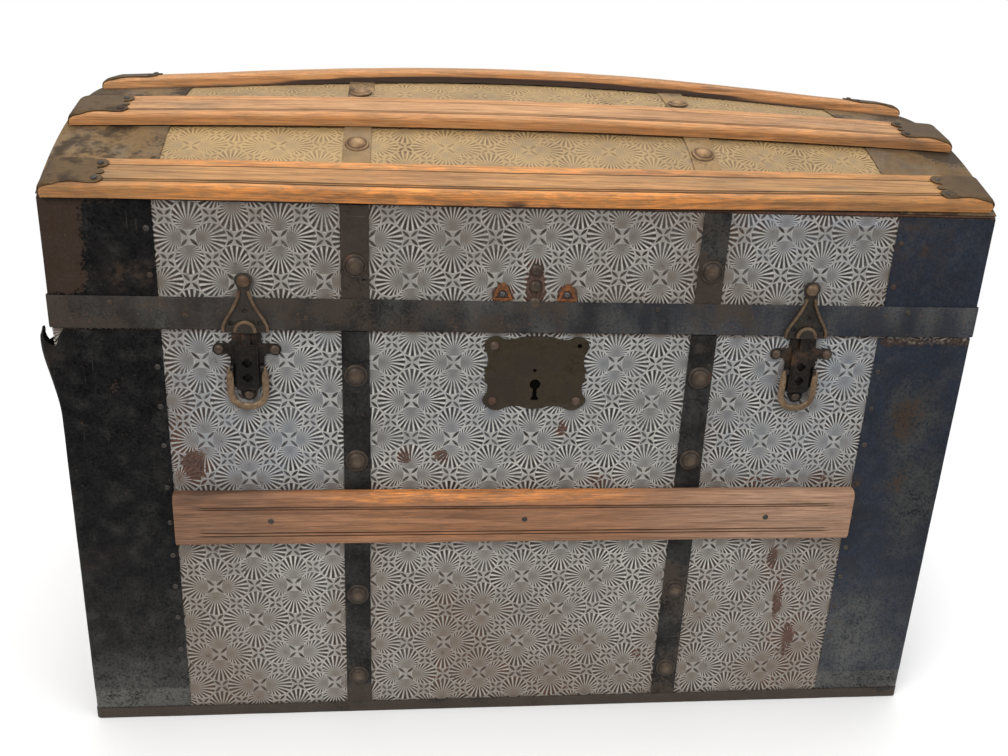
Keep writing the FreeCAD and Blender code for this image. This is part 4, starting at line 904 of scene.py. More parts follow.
def lid_stains(x, z, points):
    """Rust where the hasp was held, and brown along the ironwork and under the dome."""
    edge = 1 - ramp(from_iron(x), 0.0, 0.02)
    high = ramp(z, 0.5, 0.54)
    broad = cloud(points, 0.07, 19)
    return 0.34 + 0.2 * edge + 0.2 * high + 0.25 * broad, marks_at(x, z, LID_RUST), marks_at(x, z, LID_COOL)


def plain_stains(_across, _up, points):
    """Stains of the sheets at the back and the ends."""
    low = 1 - ramp(points[:, 2], 0.015, 0.3)
    broad = cloud(points, 0.08, 31)
    rust = 0.4 * ramp(broad + cloud(points, 0.02, 37), 0.7, 1.5)
    return 0.35 * low + 0.3 * broad, rust, 0.3 * cloud(points, 0.12, 39)


def dome_stains(_, y, points):
    """Brown beside the slats, rust in scattered places, and a painted shadow along the two lower edges beneath the
    outer slats, carried in both stain layers.
    """
    broad = cloud(points, 0.07, 41)
    edge = 1 - ramp(np.abs(np.abs(y) - 0.2), 0.0, 0.012)
    rust = 0.25 * ramp(broad + cloud(points, 0.018, 43), 0.8, 1.6)
    # painted shadow where the sheet shows beneath the front and back slats
    slat_shadow = ramp(np.abs(y), 0.216, 0.224)
    return 0.16 + 0.3 * broad + 0.25 * edge + slat_shadow, np.maximum(rust, 1.2 * slat_shadow), 0 * broad


def wall_sheets(place, repeats, levels, fine):
    """The left, middle and right sheets of one wall."""
    found = []
    for number, (across, repeat) in enumerate(zip(thirds(fine), repeats)):
        coarse = (across[[0, -1]], levels[[0, -1]])
        found.append(sheet_part(across, levels, place, repeat, coarse, seed=5 + number))
    return found


def body_levels(fine):
    low = [(SHEET_FOOT, BINDING_TOP, 0.005), (BINDING_TOP, SLAT_LOW, fine)]
    return lines(*low, (SLAT_LOW, SLAT_HIGH, 0.008), (SLAT_HIGH, BODY_TOP, fine))


def lid_levels(fine):
    return lines((LID_LOW, BAND_TOP, 0.01), (BAND_TOP, 0.5393, fine))


def dress_walls():
    def piece(name, parts, stains, body, node):
        pressed_piece(name, parts, stains, FINISH["front_tin"], body, "embossed_tin", node)

    sides = wall_sheets(front_place, (FRONT_LEFT, FRONT_MIDDLE, FRONT_RIGHT), body_levels(FINE), FINE)
    for label, part in zip(("left", "middle", "right"), sides):
        piece(f"front_sheet_{label}", [part], body_stains, "body", "body_front_tin")
    lid = wall_sheets(front_place, (LID_LEFT, LID_REST, LID_REST), lid_levels(FINE), FINE)
    piece("lid_front_sheets", lid, lid_stains, "lid", "lid_wall_tins")
    plain = (PLAIN_REPEAT,) * 3
    back = wall_sheets(back_place, plain, body_levels(ROUGH), ROUGH)
    piece("back_sheets", back, plain_stains, "body", "body_back_tin")
    back = wall_sheets(back_place, plain, lid_levels(ROUGH), ROUGH)
    piece("lid_back_sheets", back, plain_stains, "lid", "lid_wall_tins")


def dress_ends():
    def lid_end(sign):
        def place(y, share, out):
            edge = np.clip(np.abs(y), 0, HALF_DEPTH - 0.0002)
            top = dome(SKIN_X, edge, 0.0)[..., 2] - 0.0022
            return stacked(sign * (SKIN_X + out), y, LID_LOW + share * (top - LID_LOW))

        def repeat(y, share):
            return PLAIN_REPEAT(y, place(y, share, 0.0)[..., 2])

        across = lines((-HALF_DEPTH, HALF_DEPTH, ROUGH))
        share = np.linspace(0, 1, 84)
        return sheet_part(across, share, place, repeat, (lines((-HALF_DEPTH, HALF_DEPTH, 0.01)), share[[0, -1]]))

    leg = COVER_Y - COVER_WIDTH
    across = lines((-HALF_DEPTH, -leg, 0.02), (-leg, leg, ROUGH), (leg, HALF_DEPTH, 0.02))
    levels = lines((SHEET_FOOT, BINDING_TOP, 0.005), (BINDING_TOP, BODY_TOP, ROUGH))
    coarse = (across[[0, -1]], levels[[0, -1]])
    ends = [sheet_part(across, levels, end_place(sign), PLAIN_REPEAT, coarse) for sign in (-1, 1)]
    pressed_piece("end_sheets", ends, plain_stains, FINISH["front_tin"], "body", "embossed_tin", "body_end_tins")
    ends = [lid_end(sign) for sign in (-1, 1)]
    pressed_piece("lid_end_sheets", ends, plain_stains, FINISH["front_tin"], "lid", "embossed_tin", "lid_end_tins")


def dress_dome():
    """The dome's sheet, with coarse steps where the slats and straps hide it."""
    _, mean = dome_arc(HALF_LENGTH)
    flat_repeat = lattice((-0.004, -0.175), (0.0386, 0.0003), (0.0, 0.0385))

    def repeat(x, y):
        return flat_repeat(x, mean * np.arcsin(y / mean))

    fine, back, hidden = 0.0014, 0.002, 0.006
    bands = [(-HALF_DEPTH, -0.2, hidden), (-0.2, -0.146, fine), (-0.146, -0.1, hidden), (-0.1, -0.022, fine)]
    bands += [(-0.022, 0.022, hidden), (0.022, 0.1, back), (0.1, 0.146, hidden), (0.146, 0.2, back)]
    bands += [(0.2, HALF_DEPTH, hidden)]
    right = [(0.0, FIELD_LOW, fine), (FIELD_LOW, FIELD_HIGH, hidden)]
    half = lines(*right, (FIELD_HIGH, COVER_EDGE, fine), (COVER_EDGE, SKIN_X, 0.012))
    across = np.concatenate([-half[:0:-1], half])
    coarse = (lines((-SKIN_X, SKIN_X, 0.03)), lines((-HALF_DEPTH, HALF_DEPTH, 0.01)))
    sheet = sheet_part(across, lines(*bands), dome, repeat, coarse, depth=0.0006)
    pressed_piece("dome_sheet", [sheet], dome_stains, FINISH["dome_tin"], "lid", "dome_tin", "dome_tin")


# ------------------------------------------------------------- iron sheets


def plan_corner(sign_x, sign_y, front_leg, side_leg, out_x, out_y, corner, step=0.004):
    """Places and outward directions along an L in plan, from the front leg's end."""
    places, ways = [], []
    straight = front_leg - corner
    for share in np.linspace(0, 1, max(2, int(straight / step)), endpoint=False):
        places.append((out_x - front_leg + straight * share, out_y))
        ways.append((0.0, 1.0))
    for turn_share in np.linspace(0, 1, 6):
        angle = math.pi / 2 * (1 - turn_share)
        way = (math.cos(angle), math.sin(angle))
        places.append((out_x - corner + corner * way[0], out_y - corner + corner * way[1]))
        ways.append(way)
    straight = side_leg - corner
    for share in np.linspace(0, 1, max(2, int(straight / step)))[1:]:
        places.append((out_x, out_y - corner - straight * share))
        ways.append((1.0, 0.0))
    signs = np.array([sign_x, sign_y])
    return np.array(places) * signs, np.array(ways) * signs


def corner_sheet(sign_x, sign_y, low, high, lift=None, top=None, seed=3):
    """One folded cover: lift bends it outwards, top gives the edge's level along the fold."""
    plan, way = plan_corner(sign_x, sign_y, COVER_WIDTH, COVER_WIDTH, HALF_LENGTH, COVER_Y, 0.003)
    rows = max(8, int((high - low) / 0.004))
    along = np.concatenate([[0], np.cumsum(np.hypot(*np.diff(plan, axis=0).T))])
    share = np.linspace(0, 1, rows)
    edge = np.full(len(plan), high) if top is None else top(along)
    z = low + share[:, None] * (edge - low)[None, :]
    spots = np.concatenate([np.broadcast_to(plan, (rows, len(plan), 2)), z[..., None]], -1)
    out = np.concatenate([np.broadcast_to(way, (rows, len(plan), 2)), np.zeros((rows, len(plan), 1))], -1)
    dents = cloud(spots, 0.05, seed, 3).reshape(z.shape)
    near_edge = 1 - ramp(np.minimum(along, along[-1] - along), 0.0, 0.012)[None, :]
    push = -0.00012 + 0.00012 * dents - 0.0002 * near_edge * (dents > 0.3)
    push = push - 0.00025 * (1 - ramp(z, 0.0345, 0.0358))
    if lift is not None:
        push = push + lift(along[None, :], z)
    outer = spots + out * push[..., None]
    inner = outer - out * 0.0008
    return shell(outer, inner)


def torn_top(along):
    """The right front cover's crumpled upper edge."""
    wave = 0.0018 * np.sin(along * 260) + 0.0013 * np.sin(along * 611 + 1.3) + 0.001 * np.sin(along * 1430)
    return BODY_TOP - 0.0014 + np.clip(wave, -0.0026, 0.001) * ramp(along, 0.002, 0.03) * (1 - ramp(along, 0.09, 0.11))


def notched_top(along):
    """The left front cover's edge, split beside the flap that stands off."""
    split = ramp(along, 0.086, 0.091) * (1 - ramp(along, 0.0925, 0.101))
    return BODY_TOP - 0.0004 - 0.016 * split - 0.02 * ramp(along, 0.103, 0.125)


def peeled(along, z):
    """The left front cover stands off the end, near the top of the corner."""
    reach = ramp(along, 0.0915, 0.099) * (1 - ramp(along, 0.125, 0.165))
    return 0.0125 * reach * ramp(z, 0.335, 0.408) * (1 - 0.25 * ramp(z, 0.412, 0.423))


COVER_PATCHES = ((0.385, 0.335, 0.022, 0.035, 1.0), (0.405, 0.25, 0.022, 0.05, 1.0), (0.37, 0.09, 0.02, 0.04, 0.7))


def cover_marks(mesh):
    """Brown, bare, dusty and blue-black places on the covers."""
    points = places_of(mesh)
    x, y, z = points.T
    left = ramp(-x, 0.1, 0.3)
    broad = cloud(points, 0.07, 51)
    fine = cloud(points, 0.012, 53)
    foot = 1 - ramp(z, 0.033, 0.036)
    brown = 0.12 + 0.12 * left + 0.3 * broad + 0.2 * foot + 0.2 * ramp(z, 0.53, 0.54)
    brown = brown + 0.5 * left * ramp(z, 0.45, 0.47) * ramp(-x, 0.385, 0.415)
    brown = brown + 0.25 * left * np.clip(cloud(points, 0.03, 57), 0, 1)
    brown = brown - 0.2 * left * (z < 0.4235)
    torn = ramp(x, 0.33, 0.35) * ramp(z, 0.408, 0.417) * (z < 0.4235) * (y < -0.2)
    brown = brown + 0.4 * torn
    dust = (1 - ramp(z, 0.04, 0.2)) * (0.3 + 0.25 * broad) + 0.3 * foot + 0.12 * np.clip(fine, 0, 1)
    patch = marks_at(x, z, COVER_PATCHES)
    patch = np.clip(patch * (1.0 + 0.8 * cloud(points, 0.02, 55)), 0, 1)
    brown = brown + 0.22 * patch
    dust = dust + 0.25 * patch
    cold = ramp(x, 0.1, 0.3) * (0.75 + 0.2 * broad) * (1 - 0.8 * foot) * (1 - 0.6 * patch)
    paint(
        mesh,
        brown=np.clip(brown, 0, 1),
        bare=np.clip(0.5 * torn, 0, 1),
        dust=np.clip(dust, 0, 0.8),
        cold=np.clip(cold, 0, 1),
    )


def dress_covers():
    def piece(name, parts, body, node):
        mesh = tidy(joined(name, parts))
        cover_marks(mesh)
        add_piece(name, mesh, FINISH["cover"], body, "black_sheet", node)

    signs = list(itertools.product((-1, 1), (-1, 1)))
    parts = []
    for number, (sign_x, sign_y) in enumerate(signs):
        lift = top = None
        if sign_y < 0:
            lift, top = (peeled, notched_top) if sign_x < 0 else (None, torn_top)
        parts.append(corner_sheet(sign_x, sign_y, 0.0126, BODY_TOP, lift, top, number + 3))
    piece("corner_covers", parts, "body", "body_corner_covers")
    parts = [corner_sheet(*pair, LID_LOW, LID_SHEET_TOP, seed=number + 11) for number, pair in enumerate(signs)]
    piece("lid_covers", parts, "lid", "lid_corner_covers")


def swept(places, outs, acrosses, section, waver=0.0, seed=9, closed=False):
    """A bar carried along places; section pairs go across and outwards."""
    places, outs, acrosses = (np.asarray(item, float) for item in (places, outs, acrosses))
    rings = places[:, None] + section[None, :, :1] * acrosses[:, None] + section[None, :, 1:] * outs[:, None]
    if waver:
        shake = cloud(rings, 0.035, seed, 3).reshape(rings.shape[:2])
        rings = rings - outs[:, None] * (waver * np.clip(shake + 0.4, 0, 2))[..., None]
    return hoop(rings) if closed else loft(rings)


def wall_strap(x, way, low, high, seed):
    z = np.linspace(low, high, max(4, int((high - low) / 0.005)))
    middle = HALF_DEPTH + STRAP_THICK / 2
    sway = 0.00035 * np.sin(z * 23 + seed)
    places = np.stack([x + sway, np.full_like(z, way * middle), z], -1)
    outs = np.tile([0, way, 0], (len(z), 1))
    acrosses = np.tile([1.0, 0, 0], (len(z), 1))
    return swept(places, outs, acrosses, rounded_bar(STRAP_HALF, STRAP_THICK / 2, 0.00055, 2), 0.00015, seed)


def iron_marks(mesh, seed, brown=0.35, cold=0.0, dust=1.0):
    """Brown clouds, more of them near the floor; blue-grey towards the right if asked for."""
    points = places_of(mesh)
    x, _, z = points.T
    right = ramp(x, -0.2, 0.35)
    spread = brown * (1 - (0.8 * right if cold else 0)) + 0.35 * cloud(points, 0.05, seed)
    spread = spread + 0.25 * (1 - ramp(z, 0.01, 0.12))
    paint(
        mesh,
        brown=np.clip(spread, 0, 1),
        cold=np.clip(cold * right * (0.8 + 0.4 * cloud(points, 0.08, seed + 5)), 0, 1),
        dust=dust * np.clip(0.15 + 0.4 * cloud(points, 0.02, seed + 7), 0, 0.4),
    )


def dress_straps():
    def piece(name, parts, seed, brown, finish, body, node, **marks):
        mesh = tidy(joined(name, parts))
        iron_marks(mesh, seed, brown, **marks)
        add_piece(name, mesh, FINISH[finish], body, "strap_iron", node)

    spots = list(enumerate(itertools.product((-STRAP_X, STRAP_X), (-1, 1))))
    parts = [wall_strap(*spot, BINDING_TOP, 0.4229, number + 20) for number, spot in spots]
    piece("wall_straps", parts, 61, 0.22, "strap", "body", "body_straps", dust=0.45)
    parts = [wall_strap(*spot, 0.4541, LID_SHEET_TOP, number + 30) for number, spot in spots]
    piece("lid_wall_straps", parts, 63, 0.5, "strap", "lid", "lid_straps")
    parts = []
    reach = HALF_DEPTH - 0.0018
    for number, x in enumerate((-STRAP_X, STRAP_X)):
        y = np.linspace(-reach, reach, 90)
        outs = dome(x, y, 1.0) - dome(x, y, 0.0)
        acrosses = np.tile([1.0, 0, 0], (len(y), 1))
        section = rounded_bar(STRAP_HALF, 0.00065, 0.0005, 2)
        parts.append(swept(dome(x, y, 0.00075), outs, acrosses, section, 0.0001, number + 40))
    piece("dome_straps", parts, 65, 0.2, "dome_strap", "lid", "lid_straps")


def dress_hoops():
    """The band round the lid's lower edge and the binding round the base."""

    def plan(out_x, out_y, corner):
        places, ways = [], []
        for number, (sign_x, sign_y) in enumerate(((1, -1), (1, 1), (-1, 1), (-1, -1))):
            spots, facing = plan_corner(sign_x, sign_y, out_x, out_y, out_x, out_y, corner, 0.006)
            if number % 2:
                spots, facing = spots[::-1], facing[::-1]
            places.append(spots[:-1])
            ways.append(facing[:-1])
        return np.concatenate(places), np.concatenate(ways)

    def ring(out_x, out_y, low, high, thick, corner, seed):
        places, ways = plan(out_x, out_y, corner)
        middle = places - ways * thick / 2
        spots = np.column_stack([middle, np.full(len(middle), (low + high) / 2)])
        outs = np.column_stack([ways, np.zeros(len(ways))])
        acrosses = np.tile([0, 0, 1.0], (len(ways), 1))
        section = rounded_bar((high - low) / 2, thick / 2, 0.0006, 2)
        return swept(spots, outs, acrosses, section, 0.0002, seed, closed=True)

    mesh = tidy(joined("lid_band_iron", [ring(BAND_X, BAND_Y, LID_LOW, BAND_TOP, 0.0014, 0.004, 70)]))
    iron_marks(mesh, 71, 0.45, 0.9)
    add_piece("lid_band_iron", mesh, FINISH["band"], "lid", "band_iron", "lid_band")
    mesh = tidy(joined("base_binding_iron", [ring(0.4326, 0.2400, 0.0004, BINDING_TOP, 0.0014, 0.005, 72)]))
    iron_marks(mesh, 73, 0.6)
    add_piece("base_binding_iron", mesh, FINISH["band"], "body", "band_iron", "base_binding")


def dress_end_bands():
    """The plain sheets over the dome's two ends, lightly dented."""
    parts = []
    inner_x = COVER_EDGE + 0.0001
    y = np.linspace(-0.2364, 0.2364, 110)[:, None]
    for sign in (-1, 1):
        across = np.linspace(-1, 1, 24)[None, :]
        x = sign * (inner_x + HALF_LENGTH) / 2 + across * (HALF_LENGTH - inner_x) / 2
        outer = dome(x, y, 0.00095)
        dent = cloud(outer, 0.05, 75, 3).reshape(outer.shape[:2])
        outer = dome(x, y, 0.0009 + 0.0001 * np.clip(dent, -1, 0.9))
        parts.append(shell(outer, dome(x, y, 0.00015)))
    mesh = tidy(joined("dome_end_sheets", parts))
    iron_marks(mesh, 77, 0.5)
    add_piece("dome_end_sheets", mesh, FINISH["dome_sheet"], "lid", "black_sheet", "dome_end_bands")


# -------------------------------------------------------------------- slats


GROOVES = (-0.0146, -0.0118, 0.0101)  # middles of the lines along a dome slat

# Name, inset from the face, side, spring at the middle, taper across, finish and seed
DOME_SLATS = (
    ("front", 0.018, -1, 0, -EDGE_TAPER, "slat_low", 81),
    ("second", 0.116, -1, 0, 0, "slat_top", 83),
    ("crown", None, 0, 0.001, 0, "slat_top", 85),
    ("fourth", 0.116, 1, 0, 0, "slat_top", 87),
    ("back", 0.018, 1, 0, EDGE_TAPER, "slat_top", 89),
)


def moulding():
    """Face of a dome slat as (across, height) pairs; across grows from its lower edge."""
    half, top = SLAT_HALF, SLAT_TALL
    face = [(-half, 0.0012), (-half, 0.0028), (-half, 0.0044), (-half, 0.0070)]
    for angle in math.pi / 2 * np.linspace(0.12, 1, 7):
        face.append((-half + 0.0052 * (1 - math.cos(angle)), 0.0070 + 0.0049 * math.sin(angle)))
    for number, groove in enumerate(GROOVES):
        if number == 2:
            face += [(across, top) for across in np.linspace(-0.0098, groove - 0.002, 7)]
        for side, deep in ((-0.0011, 0.0), (-0.0007, 0.0006), (-0.0003, 0.0013), (0.0003, 0.0013), (0.0007, 0.0006)):
            face.append((groove + side, top - deep))
        if number < 2:
            face.append((groove + 0.0011, top))
    for angle in math.pi * np.linspace(0.2, 0.82, 8):
        face.append((0.0160 - 0.0056 * math.cos(angle), top - 0.0018 + 0.0018 * math.sin(angle)))
    face += [(half - 0.0004, 0.0094), (half, 0.0080), (half, 0.0012)]
    return np.array(face)


def slat_ring(face, taper):
    """Closed section with a flat back."""
    lifted = face + np.stack([np.zeros(len(face)), taper * face[:, 0]], -1)
    return np.concatenate([lifted, [(SLAT_HALF, 0.0003), (-SLAT_HALF, 0.0003)]])


def end_drop(x):
    """Share of its height that a slat loses towards its rounded end."""
    into = np.clip((np.abs(x) - (SLAT_END - SLAT_ROUND)) / SLAT_ROUND, 0, 1)
    return 0.54 * (1 - np.sqrt(1 - into**2))


def slat_seat(inset, sign):
    """A dome slat's place in depth, its height as a share of the others', and whether it is the front one."""
    if inset is None:
        return 0.0, 0.8, False
    return sign * (HALF_DEPTH - inset), 1.0, sign < 0 and inset < 0.05


def dome_axes(x, y):
    """Outward and across directions of the dome over (x, y)."""
    _, radius = dome_arc(x)
    out = np.stack([np.zeros_like(x), y / radius, np.sqrt(1 - (y / radius) ** 2)], -1)
    return out, np.stack([np.zeros_like(x), out[:, 2], -out[:, 1]], -1)


def slip(x, sign):
    """The front slat has slipped: low at the left end and high at the right."""
    share = np.asarray(x) / HALF_LENGTH
    bent = 0.003 * np.clip(share, 0, 1) ** 2 - 0.002 * np.clip(1 - (share / 0.6) ** 2, 0, 1)
    return (0.0035 * share - 0.0005 + bent) * (sign < 0)


def slat_marks(mesh, seed, dirt, dark, ruddy, grooves, pale=0.0):
    """Stains, warm and pale places and groove lines, each as one number per vertex; dark adds scuffs on the front slat
    and painted shadow on the crown slat, ruddy holds the rail's painted highlight, and the groove lines are painted
    shade.
    """
    points = places_of(mesh)
    stain = dirt * np.clip(cloud(points * [0.35, 1.6, 1.6], 0.03, seed, 4), 0, 1) + 0.2 * cloud(points, 0.12, seed + 1)
    ends = ramp(np.abs(points[:, 0]), 0.34, 0.424)
    ruddy = ruddy * (0.75 + 0.25 * cloud(points, 0.05, seed + 2))
    paint(mesh, stain=np.clip(stain + 0.12 * ends + dark, 0, 1), ruddy=np.clip(ruddy, 0, 1), groove=grooves)
    paint(mesh, pale=np.broadcast_to(pale, len(points)))


def dome_slat(label, inset, sign, spring, taper, finish, seed):
    """A moulded slat bent over the dome's length, rounded off at both ends."""
    y, tall, front = slat_seat(inset, sign)
    crown = inset is None
    tip = SLAT_END - SLAT_ROUND * (1 - np.sin(np.linspace(0, math.pi / 2, 9)[1:]))
    half = np.concatenate([np.linspace(0, SLAT_END - SLAT_ROUND, 74), tip])
    x = np.concatenate([-half[:0:-1], half])
    out, along = dome_axes(x, y)
    foot = dome(x, y, SLAT_SEAT + spring * (1 - (x / HALF_LENGTH) ** 2))
    if front:
        foot = foot + along * slip(x, sign)[:, None]
    face = moulding()
    face = face if sign <= 0 else (face * [-1, 1])[::-1]
    section = slat_ring(face, taper) * [1, tall]
    if crown:
        section[-2:, 1] = -0.0030
    high = section[None, :, 1] * (1 - end_drop(x)[:, None] * (section[None, :, 1] > 0))
    rings = foot[:, None] + along[:, None] * section[None, :, :1] + out[:, None] * high[..., None]

    # worn faces, and chips along the edges
    wear = cloud(rings * [0.5, 1, 1], 0.02, seed, 3).reshape(rings.shape[:2])
    edge = np.abs(section[:, 0])[None, :] / SLAT_HALF
    upper = section[:, 1] > SLAT_TALL / 2 * tall
    push = -0.00022 * np.clip(wear + 0.3, 0, 2) * upper
    push = push - 0.0011 * np.clip(wear - 0.75, 0, 1) * ramp(edge, 0.7, 0.95) * upper
    rings = rings + out[:, None] * push[..., None]
    mesh = tidy(joined(f"lid_{label}_slat_wood", [loft(rings)]), angle=0.7)

    # painted shade in the grooves, warm beads, and a painted shadow along the crown slat's lower side where it stands
    # off the dome; scuffs on the front one
    lower = -section[:, 0] if sign <= 0 else section[:, 0]
    near = np.min(np.abs(lower[:, None] + np.array(GROOVES)[None]), axis=1)
    groove = np.tile((1 - ramp(near, 0.0004, 0.00105)) * upper, len(x))
    ruddy = most(ramp(lower, 0.0148, 0.0178), 0.55 * ramp(-lower, 0.0104, 0.0125))
    middle = (1 - ramp(np.abs(x + 0.03), 0.12, 0.38))[:, None]
    ruddy = ruddy[None] * (0.5 + 0.5 * middle) + 0.16 * middle if front else np.tile(0.4 * ruddy, (len(x), 1))
    dark = 0.0
    if crown:
        # painted shadow: how far up the crown slat's side the shade reaches
        shadow_top = 0.0024 + 0.0012 * np.clip(cloud(rings[:, 0] * [1, 0, 0], 0.12, seed + 3), -1, 1)
        ends = ramp(np.abs(x), 0.18, 0.31)
        shadow_top = shadow_top * (1 - ends) - 0.0008 * ends
        dark = (ramp(shadow_top[:, None] - section[None, :, 1], -0.0008, 0.0004) * (lower > 0.0215)[None]).ravel()
        groove = np.maximum(groove, dark)
    elif front:
        scuff = cloud(rings * [0.6, 1.5, 1.5], 0.018, seed + 4, 3).reshape(rings.shape[:2])
        dark = (0.7 * ramp(scuff, 0.45, 1.1) * ramp(lower, 0.0195, 0.0215)[None]).ravel()
    slat_marks(mesh, seed, 0.25, dark, ruddy.ravel(), groove)
    add_piece(mesh.name, mesh, FINISH[finish], "lid", "ash_slat", f"lid_{label}_slat")


def body_slat(side, way, seed):
    """The rail across a body wall: two pairs of bead lines that fade before its ends."""
    half_z = (SLAT_HIGH - SLAT_LOW) / 2
    end = COVER_EDGE - 0.0005
    foot, face = 0.2395, 0.0107
    grooves = (0.0166, 0.0133, -0.0119, -0.0142)

    def lines_at(middles):
        steps = ((0.0008, 0.0), (0.0003, 0.0012), (-0.0003, 0.0012), (-0.0008, 0.0))
        return [(-middle - offset, face - low) for middle in middles for offset, low in steps]

    tip = [0.0, 0.0004, 0.0012]
    x = np.concatenate([[step - end for step in tip], np.linspace(-end + 0.0025, end - 0.0025, 130)])
    x = np.concatenate([x, [end - step for step in tip[::-1]]])
    edge = [
        (-half_z + 0.0075 * (1 - math.cos(angle)), 0.0035 + 0.0072 * math.sin(angle))
        for angle in math.pi / 2 * np.linspace(0, 1, 7)
    ]
    outline = edge + [(-0.0192, face)] + lines_at(grooves[:2])
    outline += [(-0.0108, 0.0109), (-0.004, 0.0110), (0.004, 0.0110), (0.0102, 0.0109)] + lines_at(grooves[2:])
    outline += [(0.0192, face)] + [(-across, out) for across, out in edge[::-1]]
    section = np.array(outline + [(half_z, 0.0), (-half_z, 0.0)])
    smooth = section.copy()
    inner = (np.abs(section[:, 0]) < 0.0195) & (section[:, 1] > 0)
    smooth[inner, 1] = face
    fade = ramp(end - np.abs(x), 0.018, 0.03)[:, None, None]
    shape = smooth[None] * (1 - fade) + section[None] * fade
    rings = stacked(x[:, None], way * (foot + shape[..., 1]), (SLAT_LOW + SLAT_HIGH) / 2 + shape[..., 0])
    wear = cloud(rings * [0.5, 1, 1], 0.02, seed, 3).reshape(rings.shape[:2])
    rim = ramp(np.abs(shape[..., 0]) / half_z, 0.75, 0.95)
    push = 0.0002 * np.clip(wear + 0.3, 0, 2) + 0.001 * np.clip(wear - 0.7, 0, 1) * rim
    rings[..., 1] -= way * push * (shape[..., 1] > 0.001)
    mesh = tidy(joined(f"{side}_rail", [loft(rings)]), angle=0.7)
    # painted shade in the bead lines
    near = np.min(np.abs(section[:, :1] + np.array([grooves])), axis=1)
    groove = (1 - ramp(near, 0.0004, 0.0008))[None] * fade[:, :, 0]
    along = np.repeat(x, len(section))
    # warm tone, with a painted highlight along the top edge in the middle
    upper = ramp(np.tile(section[:, 0], len(x)), 0.017, 0.022)
    ruddy = (0.12 + 0.7 * upper) * (1 - ramp(np.abs(along + 0.05), 0.09, 0.2)) + 0.04
    slat_marks(mesh, seed, 0.35, 0.4 * ramp(-along, 0.08, 0.22), ruddy, groove.ravel(), 0.7 * ramp(along, 0.06, 0.28))
    add_piece(f"{side}_rail", mesh, FINISH["slat_body"], "body", "ash_slat", f"body_{side}_slat")


def dress_slats():
    for values in DOME_SLATS:
        dome_slat(*values)
    body_slat("front", -1, 91)
    body_slat("back", 1, 93)


def clamp_reach(across):
    """How far the clamp goes in from the slat's end: two round ears with a small lobe between."""
    reach = np.full_like(across, 0.0452)
    for middle, start, radius in ((0.0105, 0.0465, 0.0065), (-0.0025, 0.0485, 0.0031), (-0.0130, 0.0460, 0.0062)):
        off = np.abs(across - middle)
        if abs(middle) > 0.005:
            off = np.where((across - middle) * middle > 0, np.minimum(off, radius), off)
        ear = start + np.sqrt(np.clip(radius**2 - off**2, 0, 1))
        reach = np.where(off <= radius * 1.001, np.maximum(reach, ear), reach)
    return reach


CLAMP_LENGTH = 0.0530
# Places across a slat, and the height of the clamp's underside there
CLAMP_TOP = np.array(
    [
        (-0.022, 0.0075),
        (-0.0212, 0.0098),
        (-0.0196, 0.0112),
        (-0.0168, SLAT_TALL),
        (0.0180, SLAT_TALL),
        (0.0205, 0.0110),
        (0.0219, 0.0094),
    ]
)


def slat_clamp_sheet(inset, sign, spring, taper, way):
    """A plate folded over a slat's rounded end; it leaves the slat's outer side bare."""
    y, tall, front = slat_seat(inset, sign)
    flip = -1 if sign > 0 else 1
    share = np.linspace(0, 1, 56)
    bend = SLAT_ROUND * (1 - np.cos(np.linspace(0.25, 1.4, 8)))
    # two rows down the slat's end, then the bend and the flat part
    steps = np.concatenate([[-1, -0.5], bend, np.linspace(SLAT_ROUND, CLAMP_LENGTH, 34)])
    grid_out, grid_in = [], []
    for step in steps:
        inward = max(step, 0.0)
        low = -0.0213 + 0.0034 * ramp(inward, 0.010, 0.028) - 0.0012 * ramp(inward, 0.030, 0.046)
        high_edge = 0.0219 - 0.0049 * ramp(inward, 0.030, 0.048)
        across = low + share * (high_edge - low)
        x = SLAT_END - inward / CLAMP_LENGTH * clamp_reach(across)
        top = np.interp(across, *CLAMP_TOP.T) * tall * (1 - end_drop(x)) + 0.0003
        high = top + taper * flip * across
        lean = math.pi / 2 * ramp(inward, 0.0, 0.011)
        ahead, lift = math.cos(lean), math.sin(lean)
        if step < 0:
            x = np.full_like(x, SLAT_END + 0.0002)
            high = np.full_like(across, 0.0006 if step == -1 else 0.0022)
            ahead, lift = 1.0, 0.0
        for grid, thick in ((grid_in, 0.0), (grid_out, 0.0010)):
            station = x + ahead * thick
            out, along = dome_axes(np.minimum(station, SLAT_END), y)
            foot = dome(np.minimum(station, SLAT_END), y, SLAT_SEAT + spring * (1 - (x / HALF_LENGTH) ** 2))
            foot[:, 0] = way * station
            shift = flip * across + (slip(way * station, sign) if front else 0)
            grid.append(foot + along * shift[:, None] + out * (high + lift * thick)[:, None])
    return shell(np.array(grid_out), np.array(grid_in))


def dress_clamps():
    parts = []
    for _, inset, sign, spring, taper, _, _ in DOME_SLATS:
        parts += [slat_clamp_sheet(inset, sign, spring, taper, way) for way in (-1, 1)]
    mesh = tidy(joined("slat_end_plates", parts), angle=0.9)
    iron_marks(mesh, 95, 0.2, dust=0.0)
    add_piece("slat_end_plates", mesh, FINISH["clamp"], "lid", "black_sheet", "slat_clamps")


# --------------------------------------------------- nails, rivets and caps


